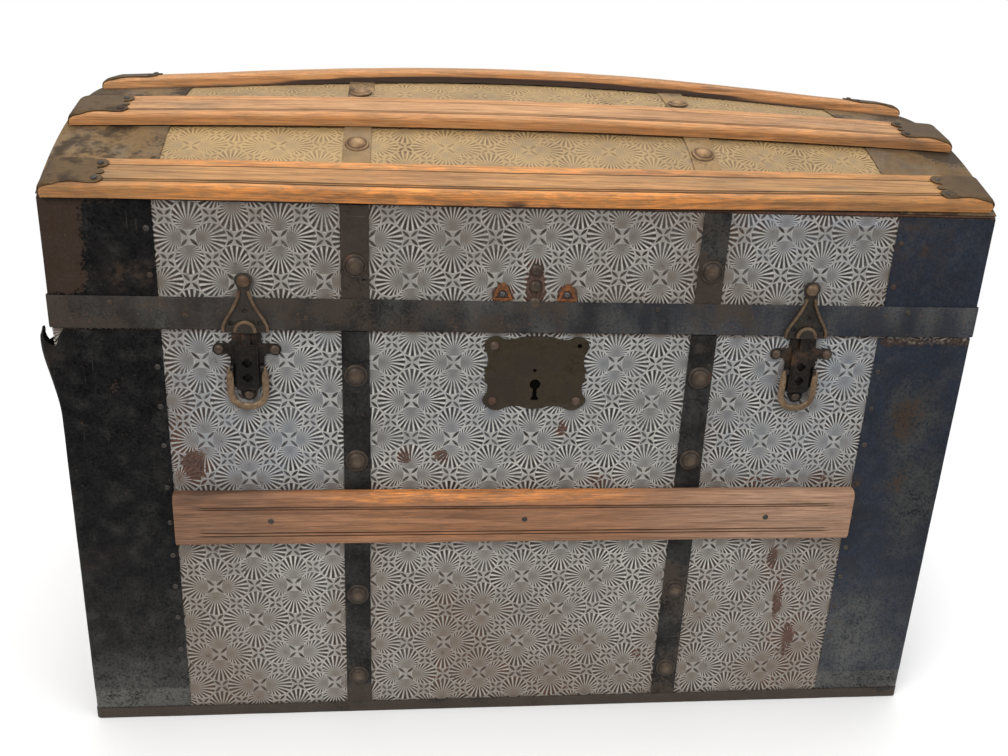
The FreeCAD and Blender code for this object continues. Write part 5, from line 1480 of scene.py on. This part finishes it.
def heads_of(node):
    """Foot and outward direction of each separate head in a CAD node."""
    work = bmesh.new()
    work.from_mesh(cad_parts[node].data)
    bmesh.ops.remove_doubles(work, verts=work.verts, dist=1e-6)
    work.verts.index_update()
    work.faces.index_update()
    seen, found = set(), []
    for start in work.verts:
        if start.index in seen:
            continue
        stack, faces = [start], {}
        seen.add(start.index)
        while stack:
            spot = stack.pop()
            for face in spot.link_faces:
                faces[face.index] = face
                for other in face.verts:
                    if other.index not in seen:
                        seen.add(other.index)
                        stack.append(other)
        areas = {}
        for _, face in sorted(faces.items()):
            key = tuple(round(value, 3) for value in face.normal)
            areas.setdefault(key, []).append(face)
        base = max(areas.values(), key=lambda group: sum(face.calc_area() for face in group))
        normal = sum((face.normal * face.calc_area() for face in base), Vector()).normalized()
        corners = {corner.index: corner.co for face in base for corner in face.verts}
        centre = sum(corners.values(), Vector()) / len(corners)
        found.append((tuple(centre), tuple(-normal)))
    work.free()
    return found


HEAD_INPUTS = (
    ("Geometry", "NodeSocketGeometry", None),
    ("Radius", "NodeSocketFloat", 0.003),
    ("Height", "NodeSocketFloat", 0.0014),
    ("Brim", "NodeSocketFloat", 0.0),
    ("Raised share", "NodeSocketFloat", 1.0),
    ("Segments", "NodeSocketInt", 10),
    ("Rings", "NodeSocketInt", 6),
    ("Seed", "NodeSocketInt", 4),
    ("Material", "NodeSocketMaterial", None),
)


def heads_tree():
    """Round heads set on points along their outward direction."""
    tree = bpy.data.node_groups.new("round_heads", "GeometryNodeTree")
    kit = Tree(tree)
    for label, kind, value in HEAD_INPUTS:
        socket = tree.interface.new_socket(name=label, in_out="INPUT", socket_type=kind)
        if value is not None:
            socket.default_value = value
    tree.interface.new_socket(name="Geometry", in_out="OUTPUT", socket_type="NodeSocketGeometry")
    start, finish = kit.node("NodeGroupInput"), kit.node("NodeGroupOutput")
    given = {item.name: kit.wire(start, item.name) for item in start.outputs if item.name}
    ball = kit.node(
        "GeometryNodeMeshUVSphere", {"Segments": given["Segments"], "Rings": given["Rings"], "Radius": 1.0}
    )
    x, y, z = kit.split(kit.wire(kit.node("GeometryNodeInputPosition")))
    reach = root(least(x * x + y * y, 1.0))
    within = least(reach / given["Raised share"], 1.0)
    raised = root(most(1 - within * within, 0.0)) * given["Height"]
    ring = 1 - ramp(size(reach - 0.84), 0.02, 0.09)
    level = raised + given["Brim"] * (1 - ramp(reach, 0.93, 1.0)) + given["Brim"] * ring * 0.22
    top = combine("GREATER_THAN", z, -0.01)
    shape = kit.node("ShaderNodeCombineXYZ", {"X": x * given["Radius"], "Y": y * given["Radius"], "Z": level * top})
    kept = kit.node(
        "GeometryNodeStoreNamedAttribute",
        {"Geometry": kit.wire(ball, "Mesh"), "Name": "rim", "Value": reach},
        data_type="FLOAT",
        domain="POINT",
    )
    moved = kit.node("GeometryNodeSetPosition", {"Geometry": kit.wire(kept), "Position": kit.wire(shape)})
    smooth = kit.node("GeometryNodeSetShadeSmooth", {"Geometry": kit.wire(moved)})
    way = kit.node("GeometryNodeInputNamedAttribute", {"Name": "out"}, data_type="FLOAT_VECTOR")
    jitter = kit.node(
        "FunctionNodeRandomValue",
        {"Min": (-0.07, -0.07, -0.07), "Max": (0.07, 0.07, 0.07), "Seed": given["Seed"]},
        data_type="FLOAT_VECTOR",
    )
    aim = kit.node(
        "ShaderNodeVectorMath", {0: kit.wire(way, "Attribute"), 1: kit.wire(jitter, "Value")}, operation="ADD"
    )
    facing = kit.node("FunctionNodeAlignRotationToVector", {"Vector": kit.wire(aim)}, axis="Z")
    spin = kit.node("FunctionNodeRandomValue", {2: 0.0, 3: 6.2832, "Seed": given["Seed"]}, data_type="FLOAT")
    about = kit.node("ShaderNodeCombineXYZ", {"Z": kit.wire(spin, 1)})
    local = kit.node("FunctionNodeRotateRotation", {0: kit.wire(facing), 1: kit.wire(about)}, rotation_space="LOCAL")
    spread = kit.node("FunctionNodeRandomValue", {2: 0.9, 3: 1.0, "Seed": given["Seed"]}, data_type="FLOAT")
    placed = kit.node(
        "GeometryNodeInstanceOnPoints",
        {
            "Points": given["Geometry"],
            "Instance": kit.wire(smooth),
            "Rotation": kit.wire(local),
            "Scale": kit.wire(spread, 1),
        },
    )
    real = kit.node("GeometryNodeRealizeInstances", {"Geometry": kit.wire(placed)})
    done = kit.node("GeometryNodeSetMaterial", {"Geometry": kit.wire(real), "Material": given["Material"]})
    tree.links.new(done.outputs[0], finish.inputs[0])
    return tree


def set_heads(tree, name, heads, finish, body, slot, nodes, **values):
    """Runs the heads tree on a cloud of points and enters the result as a piece."""
    points = bpy.data.meshes.new(f"{name}_points")
    points.from_pydata([foot for foot, _ in heads], [], [])
    layer = points.attributes.new("out", "FLOAT_VECTOR", "POINT")
    layer.data.foreach_set("vector", np.array([out for _, out in heads], np.float32).ravel())
    holder = bpy.data.objects.new(f"{name}_points", points)
    scene.collection.objects.link(holder)
    modifier = holder.modifiers.new("heads", "NODES")
    modifier.node_group = tree
    keys = {
        item.name: item.identifier
        for item in tree.interface.items_tree
        if item.item_type == "SOCKET" and item.in_out == "INPUT"
    }
    for label, value in {**values, "Material": finish}.items():
        modifier[keys[label.replace("_", " ")]] = value
    holder.update_tag()
    bpy.context.view_layer.update()
    result = holder.evaluated_get(bpy.context.evaluated_depsgraph_get())
    mesh = bpy.data.meshes.new_from_object(result)
    mesh.name = name
    bpy.data.objects.remove(holder)
    mesh.set_sharp_from_angle(angle=1.0)
    return add_piece(name, mesh, finish, body, slot, *nodes)


def settled(foot, out):
    """Moves heads on the dome, and those of the hasp, with the parts they hold."""
    x, y, z = foot
    if abs(x) < 0.02 and y < -0.2 and 0.45 < z < 0.52:  # hasp
        return (x, y, z - 0.0062), out
    if z < SPRING + 0.004:  # walls
        return foot, out
    if abs(x) < 0.3:  # straps over the dome
        return (x, y, z + float(swell(x, y))), out
    if abs(y) < 0.03:  # ends of the crown slat
        return (x, y, z - 0.0041), out
    if y < -0.19:  # ends of the front slat
        shift = float(slip(x, -1))
        return (x, y + shift * out[2], z - shift * out[1]), out
    return foot, out


def added_nails(body):
    """Nails of the hinge leaves, and on the body those of the handle caps."""
    y, levels = (0.2398, (0.3665, 0.4025)) if body == "body" else (0.2423, (0.4460, 0.4815))
    found = []
    for middle, side, level in itertools.product((-0.27, 0.0, 0.27), (-0.0205, 0.0205), levels):
        found.append(((middle + side, y, level), (0.0, 1.0, 0.0)))
    if body == "body":
        for sign, way, along, up in itertools.product((-1, 1), (-1, 1), (0.0945, 0.1135), (-0.0175, 0.0175)):
            found.append(((sign * 0.4386, way * along, HANDLE_LEVEL + up), (float(sign), 0.0, 0.0)))
    return found


def dress_heads():
    tree = heads_tree()
    cap = dict(Radius=0.0115, Height=0.0034, Brim=0.0013, Raised_share=0.74, Segments=32, Rings=20, Seed=3)
    nail = dict(Radius=0.003, Height=0.0014, Segments=10, Rings=6, Seed=4)
    plain = dict(Radius=0.0046, Height=0.0026, Segments=14, Rings=8, Seed=5)
    large = dict(Radius=0.0060, Height=0.0036, Segments=18, Rings=10, Seed=5)
    for body in ("body", "lid"):
        nodes = [f"{body}_{kind}" for kind in ("strap_caps", "nails", "rivets")]
        caps, nails, rivets = ([settled(*head) for head in heads_of(node)] for node in nodes)
        wall = [head for head in caps if head[0][2] <= SPRING + 0.004]
        over = [head for head in caps if head not in wall]
        hasp = [head for head in rivets if body == "lid" and abs(head[0][0]) < 0.02]
        rest = [head for head in rivets if head not in hasp]
        for name, node, heads, finish, slot, form in (
            (nodes[0], nodes[0], wall, "cap", "cap_iron", cap),
            ("dome_caps", nodes[0], over, "dome_cap", "cap_iron", cap),
            (nodes[1], nodes[1], nails + added_nails(body), "nail", "nail_iron", nail),
            ("lid_rivets", nodes[2], hasp, "rivet", "nail_iron", large),
            ("catch_rivets", nodes[2], rest if body == "lid" else [], "catch", "nail_iron", large),
            ("body_rivets", nodes[2], rest if body == "body" else [], "rivet", "nail_iron", plain),
        ):
            if heads:
                set_heads(tree, f"{name}_heads", heads, FINISH[finish], body, slot, [node], **form)


# ------------------------------------------------------- lock and fastenings


def plate(name, loops, thick, bevel, back):
    """A flat plate with holes on the front face; loops are lists of (x, z)."""
    curve = bpy.data.curves.new(name, "CURVE")
    curve.dimensions = "2D"
    curve.fill_mode = "BOTH"
    curve.extrude = thick / 2 - bevel
    curve.bevel_depth = bevel
    curve.bevel_resolution = 1
    curve.offset = -bevel
    for loop in loops:
        spline = curve.splines.new("POLY")
        spline.points.add(len(loop) - 1)
        for point, (x, z) in zip(spline.points, loop):
            point.co = (x, z, 0, 1)
        spline.use_cyclic_u = True
    holder = bpy.data.objects.new(name, curve)
    scene.collection.objects.link(holder)
    bpy.context.view_layer.update()
    mesh = bpy.data.meshes.new_from_object(holder.evaluated_get(bpy.context.evaluated_depsgraph_get()))
    bpy.data.objects.remove(holder)
    mesh.transform(Matrix(((1, 0, 0, 0), (0, 0, -1, -(back + thick / 2)), (0, 1, 0, 0), (0, 0, 0, 1))))
    work = bmesh.new()
    work.from_mesh(mesh)
    bmesh.ops.remove_doubles(work, verts=work.verts, dist=1e-6)
    bmesh.ops.recalc_face_normals(work, faces=work.faces)
    work.to_mesh(mesh)
    work.free()
    return mesh


def merged(name, meshes):
    """One mesh from several, joined as they stand."""
    work = bmesh.new()
    for mesh in meshes:
        work.from_mesh(mesh)
    result = bpy.data.meshes.new(name)
    work.to_mesh(result)
    work.free()
    return tidy(result)


def ring_of(x, z, radius, count=20, squeeze=1.0):
    """A circle of places, or an upright oval."""
    angles = np.linspace(0, 2 * math.pi, count, endpoint=False)
    return np.stack([x + radius * np.cos(angles), z + radius * squeeze * np.sin(angles)], -1)


def petals(x, z, radius):
    """A hole of four round lobes about (x, z)."""
    angles = np.linspace(0, 2 * math.pi, 40, endpoint=False)
    far = radius * (0.72 + 0.28 * np.abs(np.cos(2 * angles)))
    return np.stack([x + far * np.cos(angles), z + far * np.sin(angles)], -1)


def mirrored(half, middle=0.0):
    """A closed outline from its right half, listed from top to bottom."""
    half = np.asarray(half, float)
    return np.concatenate([half, half[::-1] * [-1, 1]]) + [middle, 0.0]


def keyhole():
    angles = np.linspace(-0.38 * math.pi, 1.38 * math.pi, 22)
    loop = [(0.0051 * math.cos(angle), KEY_LEVEL + 0.0051 * math.sin(angle)) for angle in angles]
    foot = [(-0.0021, 0.3600), (-0.0036, 0.3582), (-0.0036, 0.3562)]
    return np.array(loop + foot + [(-across, level) for across, level in foot[::-1]]) + [LOCK_X, 0]


def smooth_loop(points, steps=4):
    """A closed curve through points."""
    points = np.asarray(points, float)
    before, after, beyond = (np.roll(points, shift, axis=0) for shift in (1, -1, -2))
    found = []
    for share in np.linspace(0, 1, steps, endpoint=False):
        a = 2 * points
        b = after - before
        c = 2 * before - 5 * points + 4 * after - beyond
        d = 3 * (points - after) + beyond - before
        found.append(0.5 * (a + b * share + c * share**2 + d * share**3))
    return np.stack(found, 1).reshape(-1, 2)


def lock_outline():
    """The lock plate: round lobes at the corners and waved edges, in millimetres from its middle."""
    low = [(3, -36), (8, -35.4), (13, -33.6), (20, -33.2), (27, -34.4), (33, -37), (40, -36.9), (46, -33.4)]
    side = [(49.4, -29), (49, -24.6), (46.2, -20.5), (45.2, -15), (46, -9.6), (48.6, -5.4), (46.6, -1.5), (49, 2.2)]
    side += [(46.8, 6), (45.6, 12), (46.2, 18), (48.6, 23), (49.6, 28), (47.6, 33)]
    high = [(42, 36.6), (36, 36.6), (31.6, 34.4), (26, 33.6), (20, 34.6), (15, 36.3), (8, 36.8), (3, 37)]
    half = np.array(low + side + high, float)
    whole = np.concatenate([half, half[::-1] * [-1, 1]]) / 1000
    return smooth_loop(whole) + [LOCK_X, 0.3831]


def dress_lock():
    loops = [lock_outline(), keyhole(), ring_of(0.0036, 0.3862, 0.0017, 12), ring_of(0.045, 0.411, 0.0022, 12)]
    mesh = tidy(plate("lock_face", loops, 0.0015, 0.0003, HALF_DEPTH))
    add_piece("lock_face", mesh, FINISH["brass"], "body", "lock_brass", "lock_plate")
    # dark sheets behind the keyhole and the empty rivet hole: painted shade
    shades = [ring_of(LOCK_X, KEY_LEVEL, 0.0095, 24, 1.95), ring_of(0.045, 0.411, 0.0036, 14)]
    mesh = tidy(plate("keyhole_back", shades, 0.0004, 0.0001, HALF_DEPTH))
    add_piece("keyhole_back", mesh, FINISH["gap"], "body", "lock_brass", "lock_plate")


def wire_path(places, radius, flat=None, columns=10):
    """A wire through places; flat is its half thickness along Y."""
    places = np.asarray(places, float)
    radius = np.broadcast_to(radius, len(places))
    flat = radius if flat is None else np.broadcast_to(flat, len(places))
    ways = np.gradient(places, axis=0)
    ways /= np.linalg.norm(ways, axis=1)[:, None]
    side = np.tile([0.0, 1.0, 0.0], (len(places), 1))
    other = np.cross(ways, side)
    other /= np.linalg.norm(other, axis=1)[:, None]
    side = np.cross(other, ways)
    angles = np.linspace(0, 2 * math.pi, columns, endpoint=False)
    rings = places[:, None] + np.cos(angles)[None, :, None] * (side * flat[:, None])[:, None]
    rings = rings + np.sin(angles)[None, :, None] * (other * radius[:, None])[:, None]
    return loft(rings)


def bail_path(middle):
    """Pivot ends turned inwards, two legs and a round bottom; returns places and the wire's radius."""
    reach, top, low = 0.0158, PIVOT_LEVEL, 0.3505
    half = [(0.0126, top), (0.0140, top), (0.0154, top - 0.0003), (0.0156, top - 0.0014), (reach, top - 0.003)]
    half += [(reach, z) for z in np.linspace(top - 0.006, low + 0.0155, 5)]
    turns = np.linspace(0, math.pi / 2, 14)[1:]
    half += [(0.003 + 0.0128 * math.cos(a), low + 0.0145 - 0.0145 * math.sin(a)) for a in turns]
    half = np.array(half + [(0.0015, low), (0.0, low)])
    full = np.concatenate([half, half[-2::-1] * [-1, 1]])
    wide = np.interp(full[:, 1], [top - 0.008, top - 0.001], [0.0032, 0.0020])
    return stacked(middle + full[:, 0], -0.2426, full[:, 1]), wide


def chamfered(half_wide, low, high, cut_across, cut_up):
    """Right half of a rectangle with cut corners, from top to bottom."""
    inner = half_wide - cut_across
    half = [(0.0, high), (inner, high), (half_wide, high - cut_up)]
    return half + [(half_wide, low + cut_up), (inner, low), (0.0, low)]


def draw_edge():
    """Right half of a draw bolt's base plate: an ear, a waist and a round foot."""
    half = [(0.0, 0.4212), (0.0122, 0.4212), (0.0131, 0.4202), (0.0133, 0.4110), (0.0165, 0.4106)]
    for angle in np.linspace(math.pi / 2, -0.75 * math.pi, 12):
        half.append((0.0252 + 0.0056 * math.cos(angle), 0.4050 + 0.0056 * math.sin(angle)))
    half += [(0.0175, 0.4005), (0.0152, 0.3975), (0.0152, 0.3745), (0.0146, 0.3715), (0.0120, 0.3690)]
    for angle in np.linspace(0.2, -math.pi / 2, 9):
        half.append((0.0072 * math.cos(angle), 0.3626 + 0.0072 * math.sin(angle)))
    return half


def dress_draws():
    """The draw bolts: base plate with two lugs, slide with its tongue and raised face, and bail."""
    for side, middle in (("left", -DRAW_X), ("right", DRAW_X)):
        meshes = [plate(f"{side}_draw_back", [mirrored(draw_edge(), middle)], 0.0017, 0.0003, HALF_DEPTH)]
        for way in (-1, 1):
            along = middle + way * np.linspace(0.0121, 0.0149, 4)
            lug = wire_path(stacked(along, -0.2424, PIVOT_LEVEL), 0.0034, columns=16)
            meshes.append(joined(f"{side}_lug{way}", [lug]))
        mesh = merged(f"{side}_draw_plate", meshes)
        add_piece(mesh.name, mesh, FINISH["black_iron"], "body", "catch_iron", f"{side}_draw_base")

        holes = [petals(middle, level, 0.0046) for level in (0.3929, 0.3788)]
        tongue = [(0.0, 0.4228), (0.0034, 0.4228), (0.0039, 0.4222), (0.0039, 0.4094), (0.0, 0.4094)]
        meshes = []
        for name, half, gaps, thick, bevel, back in (
            ("draw_slide", chamfered(0.0102, 0.3666, 0.4104, 0.0010, 0.0010), holes, 0.0028, 0.0004, 0.24015),
            ("tongue", tongue, [], 0.0022, 0.0004, 0.2409),
            ("slide_face", chamfered(0.0082, 0.3682, 0.4090, 0.0007, 0.0008), holes, 0.0009, 0.0003, 0.2428),
        ):
            meshes.append(plate(f"{side}_{name}_part", [mirrored(half, middle)] + gaps, thick, bevel, back))
        mesh = merged(f"{side}_draw_slide", meshes)
        add_piece(mesh.name, mesh, FINISH["black_iron"], f"{side}_draw_bar", "catch_iron", f"{side}_draw_bar")

        path, wide = bail_path(middle)
        mesh = tidy(joined(f"{side}_bail_wire", [wire_path(path, wide, 0.0021, columns=14)]))
        add_piece(mesh.name, mesh, FINISH["bail"], f"{side}_bail", "bail_wire", f"{side}_bail")


def catch_edge():
    """Right half of a catch's outline, from its head down to its foot and the slot for the tongue."""
    half = [(0.0, 0.4775), (0.0045, 0.4765), (0.0075, 0.4735), (0.0080, 0.4690), (0.0060, 0.4650)]
    half += [(0.0050, 0.4612), (0.0062, 0.4555), (0.0094, 0.4480), (0.0140, 0.4398), (0.0180, 0.4335)]
    half += [(0.0205, 0.4280), (0.0208, 0.4232), (0.0200, 0.4218)]
    return half + [(0.0046, 0.4218), (0.0046, 0.4318), (0.0, 0.4320)]


def dress_catches():
    """The catches: plate, boss and cheeks beside the tongue's slot, raised edges and an arch."""
    boss_wide, boss_tall, boss_foot = 0.0088, 0.0092, 0.4222
    angles = np.linspace(0, math.pi, 18)
    turns = np.linspace(0, 1.02, 8)
    for side, middle in (("left", -DRAW_X), ("right", DRAW_X)):
        loops = [mirrored(catch_edge(), middle), ring_of(middle, 0.4422, 0.0023, 14)]
        loops += [ring_of(middle + way * 0.0128, 0.4306, 0.0025, 14) for way in (-1, 1)]
        boss = stacked(middle + boss_wide * np.cos(angles), boss_foot + boss_tall * np.sin(angles))
        meshes = [plate(f"{side}_catch_base", loops, 0.0017, 0.0003, BAND_Y)]
        meshes.append(plate(f"{side}_boss", [boss], 0.0020, 0.0004, 0.2432))
        for way in (-1, 1):
            cheek = stacked(way * boss_wide * np.cos(turns), boss_tall * np.sin(turns))
            cheek = np.concatenate([cheek, [(way * 0.0046, 0.0)]]) + [middle, boss_foot]
            meshes.append(plate(f"{side}_cheek{way}", [cheek], 0.0014, 0.0002, 0.2420))
        mesh = merged(f"{side}_catch_plate", meshes)
        add_piece(mesh.name, mesh, FINISH["catch_dark"], "lid", "catch_iron", f"{side}_catch")

        arch = stacked(middle + boss_wide * np.cos(angles), -0.2449, 0.4230 + 0.0094 * np.sin(angles))
        parts = [wire_path(arch, 0.0017, 0.0017)]
        edge = np.array(catch_edge()[5:12]) - [0.0010, 0.0]
        fine = np.linspace(0, len(edge) - 1, 26)
        across, level = (np.interp(fine, range(len(edge)), column) for column in edge.T)
        for way in (-1, 1):
            parts.append(wire_path(stacked(middle + way * across, -0.2428, level), 0.0015, 0.0017, columns=8))
        mesh = tidy(joined(f"{side}_catch_rim", parts))
        add_piece(mesh.name, mesh, FINISH["catch"], "lid", "catch_iron", f"{side}_catch")


CLIP_FOOT = np.array([0.0, 54.4])
CLIP_OUTER = [(-8.2, 54.4), (-8.0, 57.0), (-4.4, 62.8), (-1.0, 64.6), (3.2, 64.0), (7.6, 58.4), (8.2, 54.4)]
CLIP_INNER = [(-5.6, 56.4), (-5.2, 57.6), (-3.0, 61.2), (-0.6, 62.2), (2.4, 61.6), (5.2, 57.8), (5.6, 56.4)]


def dress_clips():
    """Rusted loops left where the hasp's strap was held, in millimetres from their middle."""
    meshes, heads = [], []
    for sign in (-1, 1):
        loops = []
        for loop, tall in ((CLIP_OUTER, 1.6), (CLIP_INNER, 1.25)):
            loop = (np.array(loop) * [sign, 1] - CLIP_FOOT) * [1, tall] + CLIP_FOOT
            loops.append(smooth_loop(loop / 1000 + [sign * 0.030, 0.400], 3))
        meshes.append(plate(f"clip{sign}", loops, 0.0015, 0.0004, HALF_DEPTH))
        heads.append(((sign * 0.030, -HALF_DEPTH + 0.0004, 0.4602), (0, -1, 0)))
    add_piece("hasp_loops", merged("hasp_loops", meshes), FINISH["rust"], "lid", "catch_iron", "hasp_clips")
    shape = {"Radius": 0.0034, "Height": 0.0018, "Segments": 14, "Rings": 8, "Seed": 2}
    tree = bpy.data.node_groups["round_heads"]
    set_heads(tree, "loop_rivets", heads, FINISH["steel"], "lid", "catch_iron", ["hasp_clips"], **shape)


# ----------------------------------------------------------- leather handles


def handle_path():
    """Half of the handle from its fixed end to the middle, as (x out, y)."""
    y = np.linspace(0.118, 0.0, 60)
    bow = 0.0338 * ramp(-y, -0.086, -0.034)
    return np.stack([SKIN_X + 0.0033 + bow, y], -1)


def dress_handles():
    half = handle_path()
    full = np.concatenate([half, half[-2::-1] * [1, -1]])
    ways = np.gradient(full, axis=0)
    ways /= np.linalg.norm(ways, axis=1)[:, None]
    outs = np.stack([-ways[:, 1], ways[:, 0]], -1)
    outs *= np.sign(outs[:, :1] + 1e-9)
    section = rounded_bar(0.0148, 0.0028, 0.0024, 4)
    grip = 1 - ramp(np.abs(full[:, 1]), 0.03, 0.075)
    across = section[None, :, 0] * (1 - 0.3 * grip[:, None])
    for side, sign in (("left", -1), ("right", 1)):
        flat = full[:, None] + outs[:, None] * section[None, :, 1:]
        rings = stacked(sign * flat[..., 0], flat[..., 1], HANDLE_LEVEL + across)
        mesh = tidy(joined(f"{side}_leather", [loft(rings)]), angle=1.2)
        paint(mesh, edge=ramp(np.abs(places_of(mesh)[:, 2] - HANDLE_LEVEL), 0.009, 0.0145))
        add_piece(mesh.name, mesh, FINISH["leather"], "body", "leather", f"{side}_handle")


def dress_handle_caps():
    """Pressed sheet caps over the leather's fixed ends: rounded edges, a raised border and a dished face."""
    near, far, half_tall, round_edge = 0.0882, 0.1197, 0.0228, 0.0034
    y, z = np.meshgrid(np.linspace(near, far, 40), np.linspace(-half_tall, half_tall, 56), indexing="ij")
    rim = np.minimum(far - y, half_tall - np.abs(z))
    inner = np.minimum(rim, y - near)
    round_off = np.clip(round_edge - rim, 0, round_edge)
    high = 0.0046 + np.sqrt(round_edge**2 - round_off**2) - 0.0007 * ramp(inner, 0.0052, 0.0068)
    high = high + 0.0005 * (1 - ramp(np.abs(y - 0.104), 0.0012, 0.0030)) * ramp(inner, 0.006, 0.008)
    high = high + 0.00015 * cloud(np.stack([y, z, 0 * y], -1), 0.012, 97).reshape(y.shape)
    parts = []
    for sign, way in itertools.product((-1, 1), (-1, 1)):
        outer, back = (stacked(sign * (SKIN_X + out), way * y, HANDLE_LEVEL + z) for out in (high, 0.0002))
        parts.append(shell(outer, back))
    mesh = tidy(joined("handle_cap_sheets", parts), angle=0.9)
    add_piece("handle_cap_sheets", mesh, FINISH["black_iron"], "body", "black_sheet", "handle_caps")


# ------------------------------------------------------------- plain parts


PLAIN_NODES = {
    "pine": (
        "body_back_board",
        "body_front_board",
        "body_left_board",
        "body_right_board",
        "bottom_board",
        "dome_staves",
        "lid_back_board",
        "lid_front_board",
        "lid_left_end",
        "lid_right_end",
        "bottom_runners",
        "tray_cleats",
    ),
    "paper": ("body_lining", "lid_lining"),
    "black_iron": ("hinge_body_leaves", "hinge_lid_leaves"),
    "steel": ("hinge_pins", "lock_bolt", "lock_case"),
}


def dress_nodes():
    """Finishes for parts that keep their CAD shape."""
    for finish, names in PLAIN_NODES.items():
        for name in names:
            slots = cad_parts[name].data.materials
            slots.clear()
            slots.append(FINISH[finish])


# ------------------------------------------------------------ floor and light


# Name, place, aim, width, height, power and tint
LAMPS = (
    ("key", (-1.3, -1.9, 2.4), (0, 0, 0.35), 1.6, 1.2, 42, (1.0, 0.98, 0.95)),
    ("fill", (1.9, -1.8, 1.3), (0, 0, 0.3), 1.4, 1.4, 14, (0.93, 0.97, 1.0)),
    ("top", (0.2, 0.5, 2.8), (0, 0, 0.4), 1.8, 1.2, 26, (1.0, 1.0, 1.0)),
)


def stage_item(name, data):
    """An object of the floor, light or camera, entered in the scene."""
    item = bpy.data.objects.new(name, data)
    scene.collection.objects.link(item)
    return item


def pale_floor():
    """A pale sheet under the trunk that fades out round it."""
    make = Finish("pale_floor")
    soft = make.noise(make.place, 2.0, 3.0)
    finish = make.done(make.mix(soft * 0.1, (250, 250, 250), (243, 243, 244)), 0.7)
    x, y, _ = make.split(make.place)
    far = root(x * x * 0.8 + y * y * 1.6)
    put(make.tree, 1 - ramp(far, 0.62, 1.15), make.shader.inputs["Alpha"])
    corners = [(-1.6, -1.6, 0), (1.6, -1.6, 0), (1.6, 1.6, 0), (-1.6, 1.6, 0)]
    mesh = mesh_of("floor", corners, [(0, 1, 2, 3)])
    mesh.materials.append(finish)
    return stage_item("floor", mesh)


def surroundings():
    """White to the camera, and brighter from above in reflections and soft light."""
    world = bpy.data.worlds.new("surroundings")
    scene.world = world
    world.use_nodes = True
    world.node_tree.nodes.clear()
    kit = Tree(world.node_tree)
    path = kit.node("ShaderNodeLightPath")
    seen = most(kit.wire(path, "Is Camera Ray"), kit.wire(path, "Is Transmission Ray"))
    shine = kit.wire(path, "Is Glossy Ray")
    up = kit.split(kit.wire(kit.node("ShaderNodeTexCoord"), "Generated"))[2]
    sky = 0.5 + 0.45 * ramp(up, 0.0, 0.9)
    strength = most(seen, sky * (1 - shine) + shine * (0.3 + 0.6 * ramp(up, 0.1, 0.8)))
    soft = kit.node("ShaderNodeBackground", {"Color": (1.0, 1.0, 1.0, 1.0), "Strength": strength})
    output = kit.node("ShaderNodeOutputWorld")
    world.node_tree.links.new(soft.outputs[0], output.inputs["Surface"])


def lamp(name, place, aim, wide, high, power, tint):
    """A soft rectangular lamp at a place, aimed at another."""
    light = bpy.data.lights.new(name, "AREA")
    light.shape = "RECTANGLE"
    light.size = wide
    light.size_y = high
    light.energy = power
    light.color = tint
    item = stage_item(name, light)
    item.location = place
    item.rotation_euler = (Vector(aim) - Vector(place)).to_track_quat("-Z", "Y").to_euler()
    return item


def camera_eye():
    camera = bpy.data.cameras.new("camera")
    camera.sensor_fit = "HORIZONTAL"
    camera.sensor_width = 36
    camera.lens = 36
    camera.clip_start = 0.01
    eye = stage_item("camera", camera)
    pitch, yaw, roll = (math.radians(angle) for angle in (20.50, -6.38, 2.59))
    turned = Matrix.Rotation(roll, 3, "Z") @ Matrix.Rotation(pitch, 3, "X") @ Matrix.Rotation(yaw, 3, "Y")
    right, down, ahead = (Vector((row[0], row[2], -row[1])) for row in turned)
    pose = Matrix((right, -down, -ahead)).transposed().to_4x4()
    pose.translation = (-0.1245, -1.1256, 0.712)
    eye.matrix_world = pose
    scene.camera = eye
    return eye


def studio():
    """Pale floor, white surroundings, soft lights and the camera."""
    staged = [pale_floor()]
    surroundings()
    staged += [lamp(*values) for values in LAMPS]
    staged.append(camera_eye())
    scene.view_settings.view_transform = "Standard"


dress_walls()
dress_ends()
dress_dome()
dress_covers()
dress_straps()
dress_hoops()
dress_end_bands()
dress_slats()
dress_clamps()
dress_heads()
dress_lock()
dress_draws()
dress_catches()
dress_clips()
dress_handles()
dress_handle_caps()
dress_nodes()
studio()
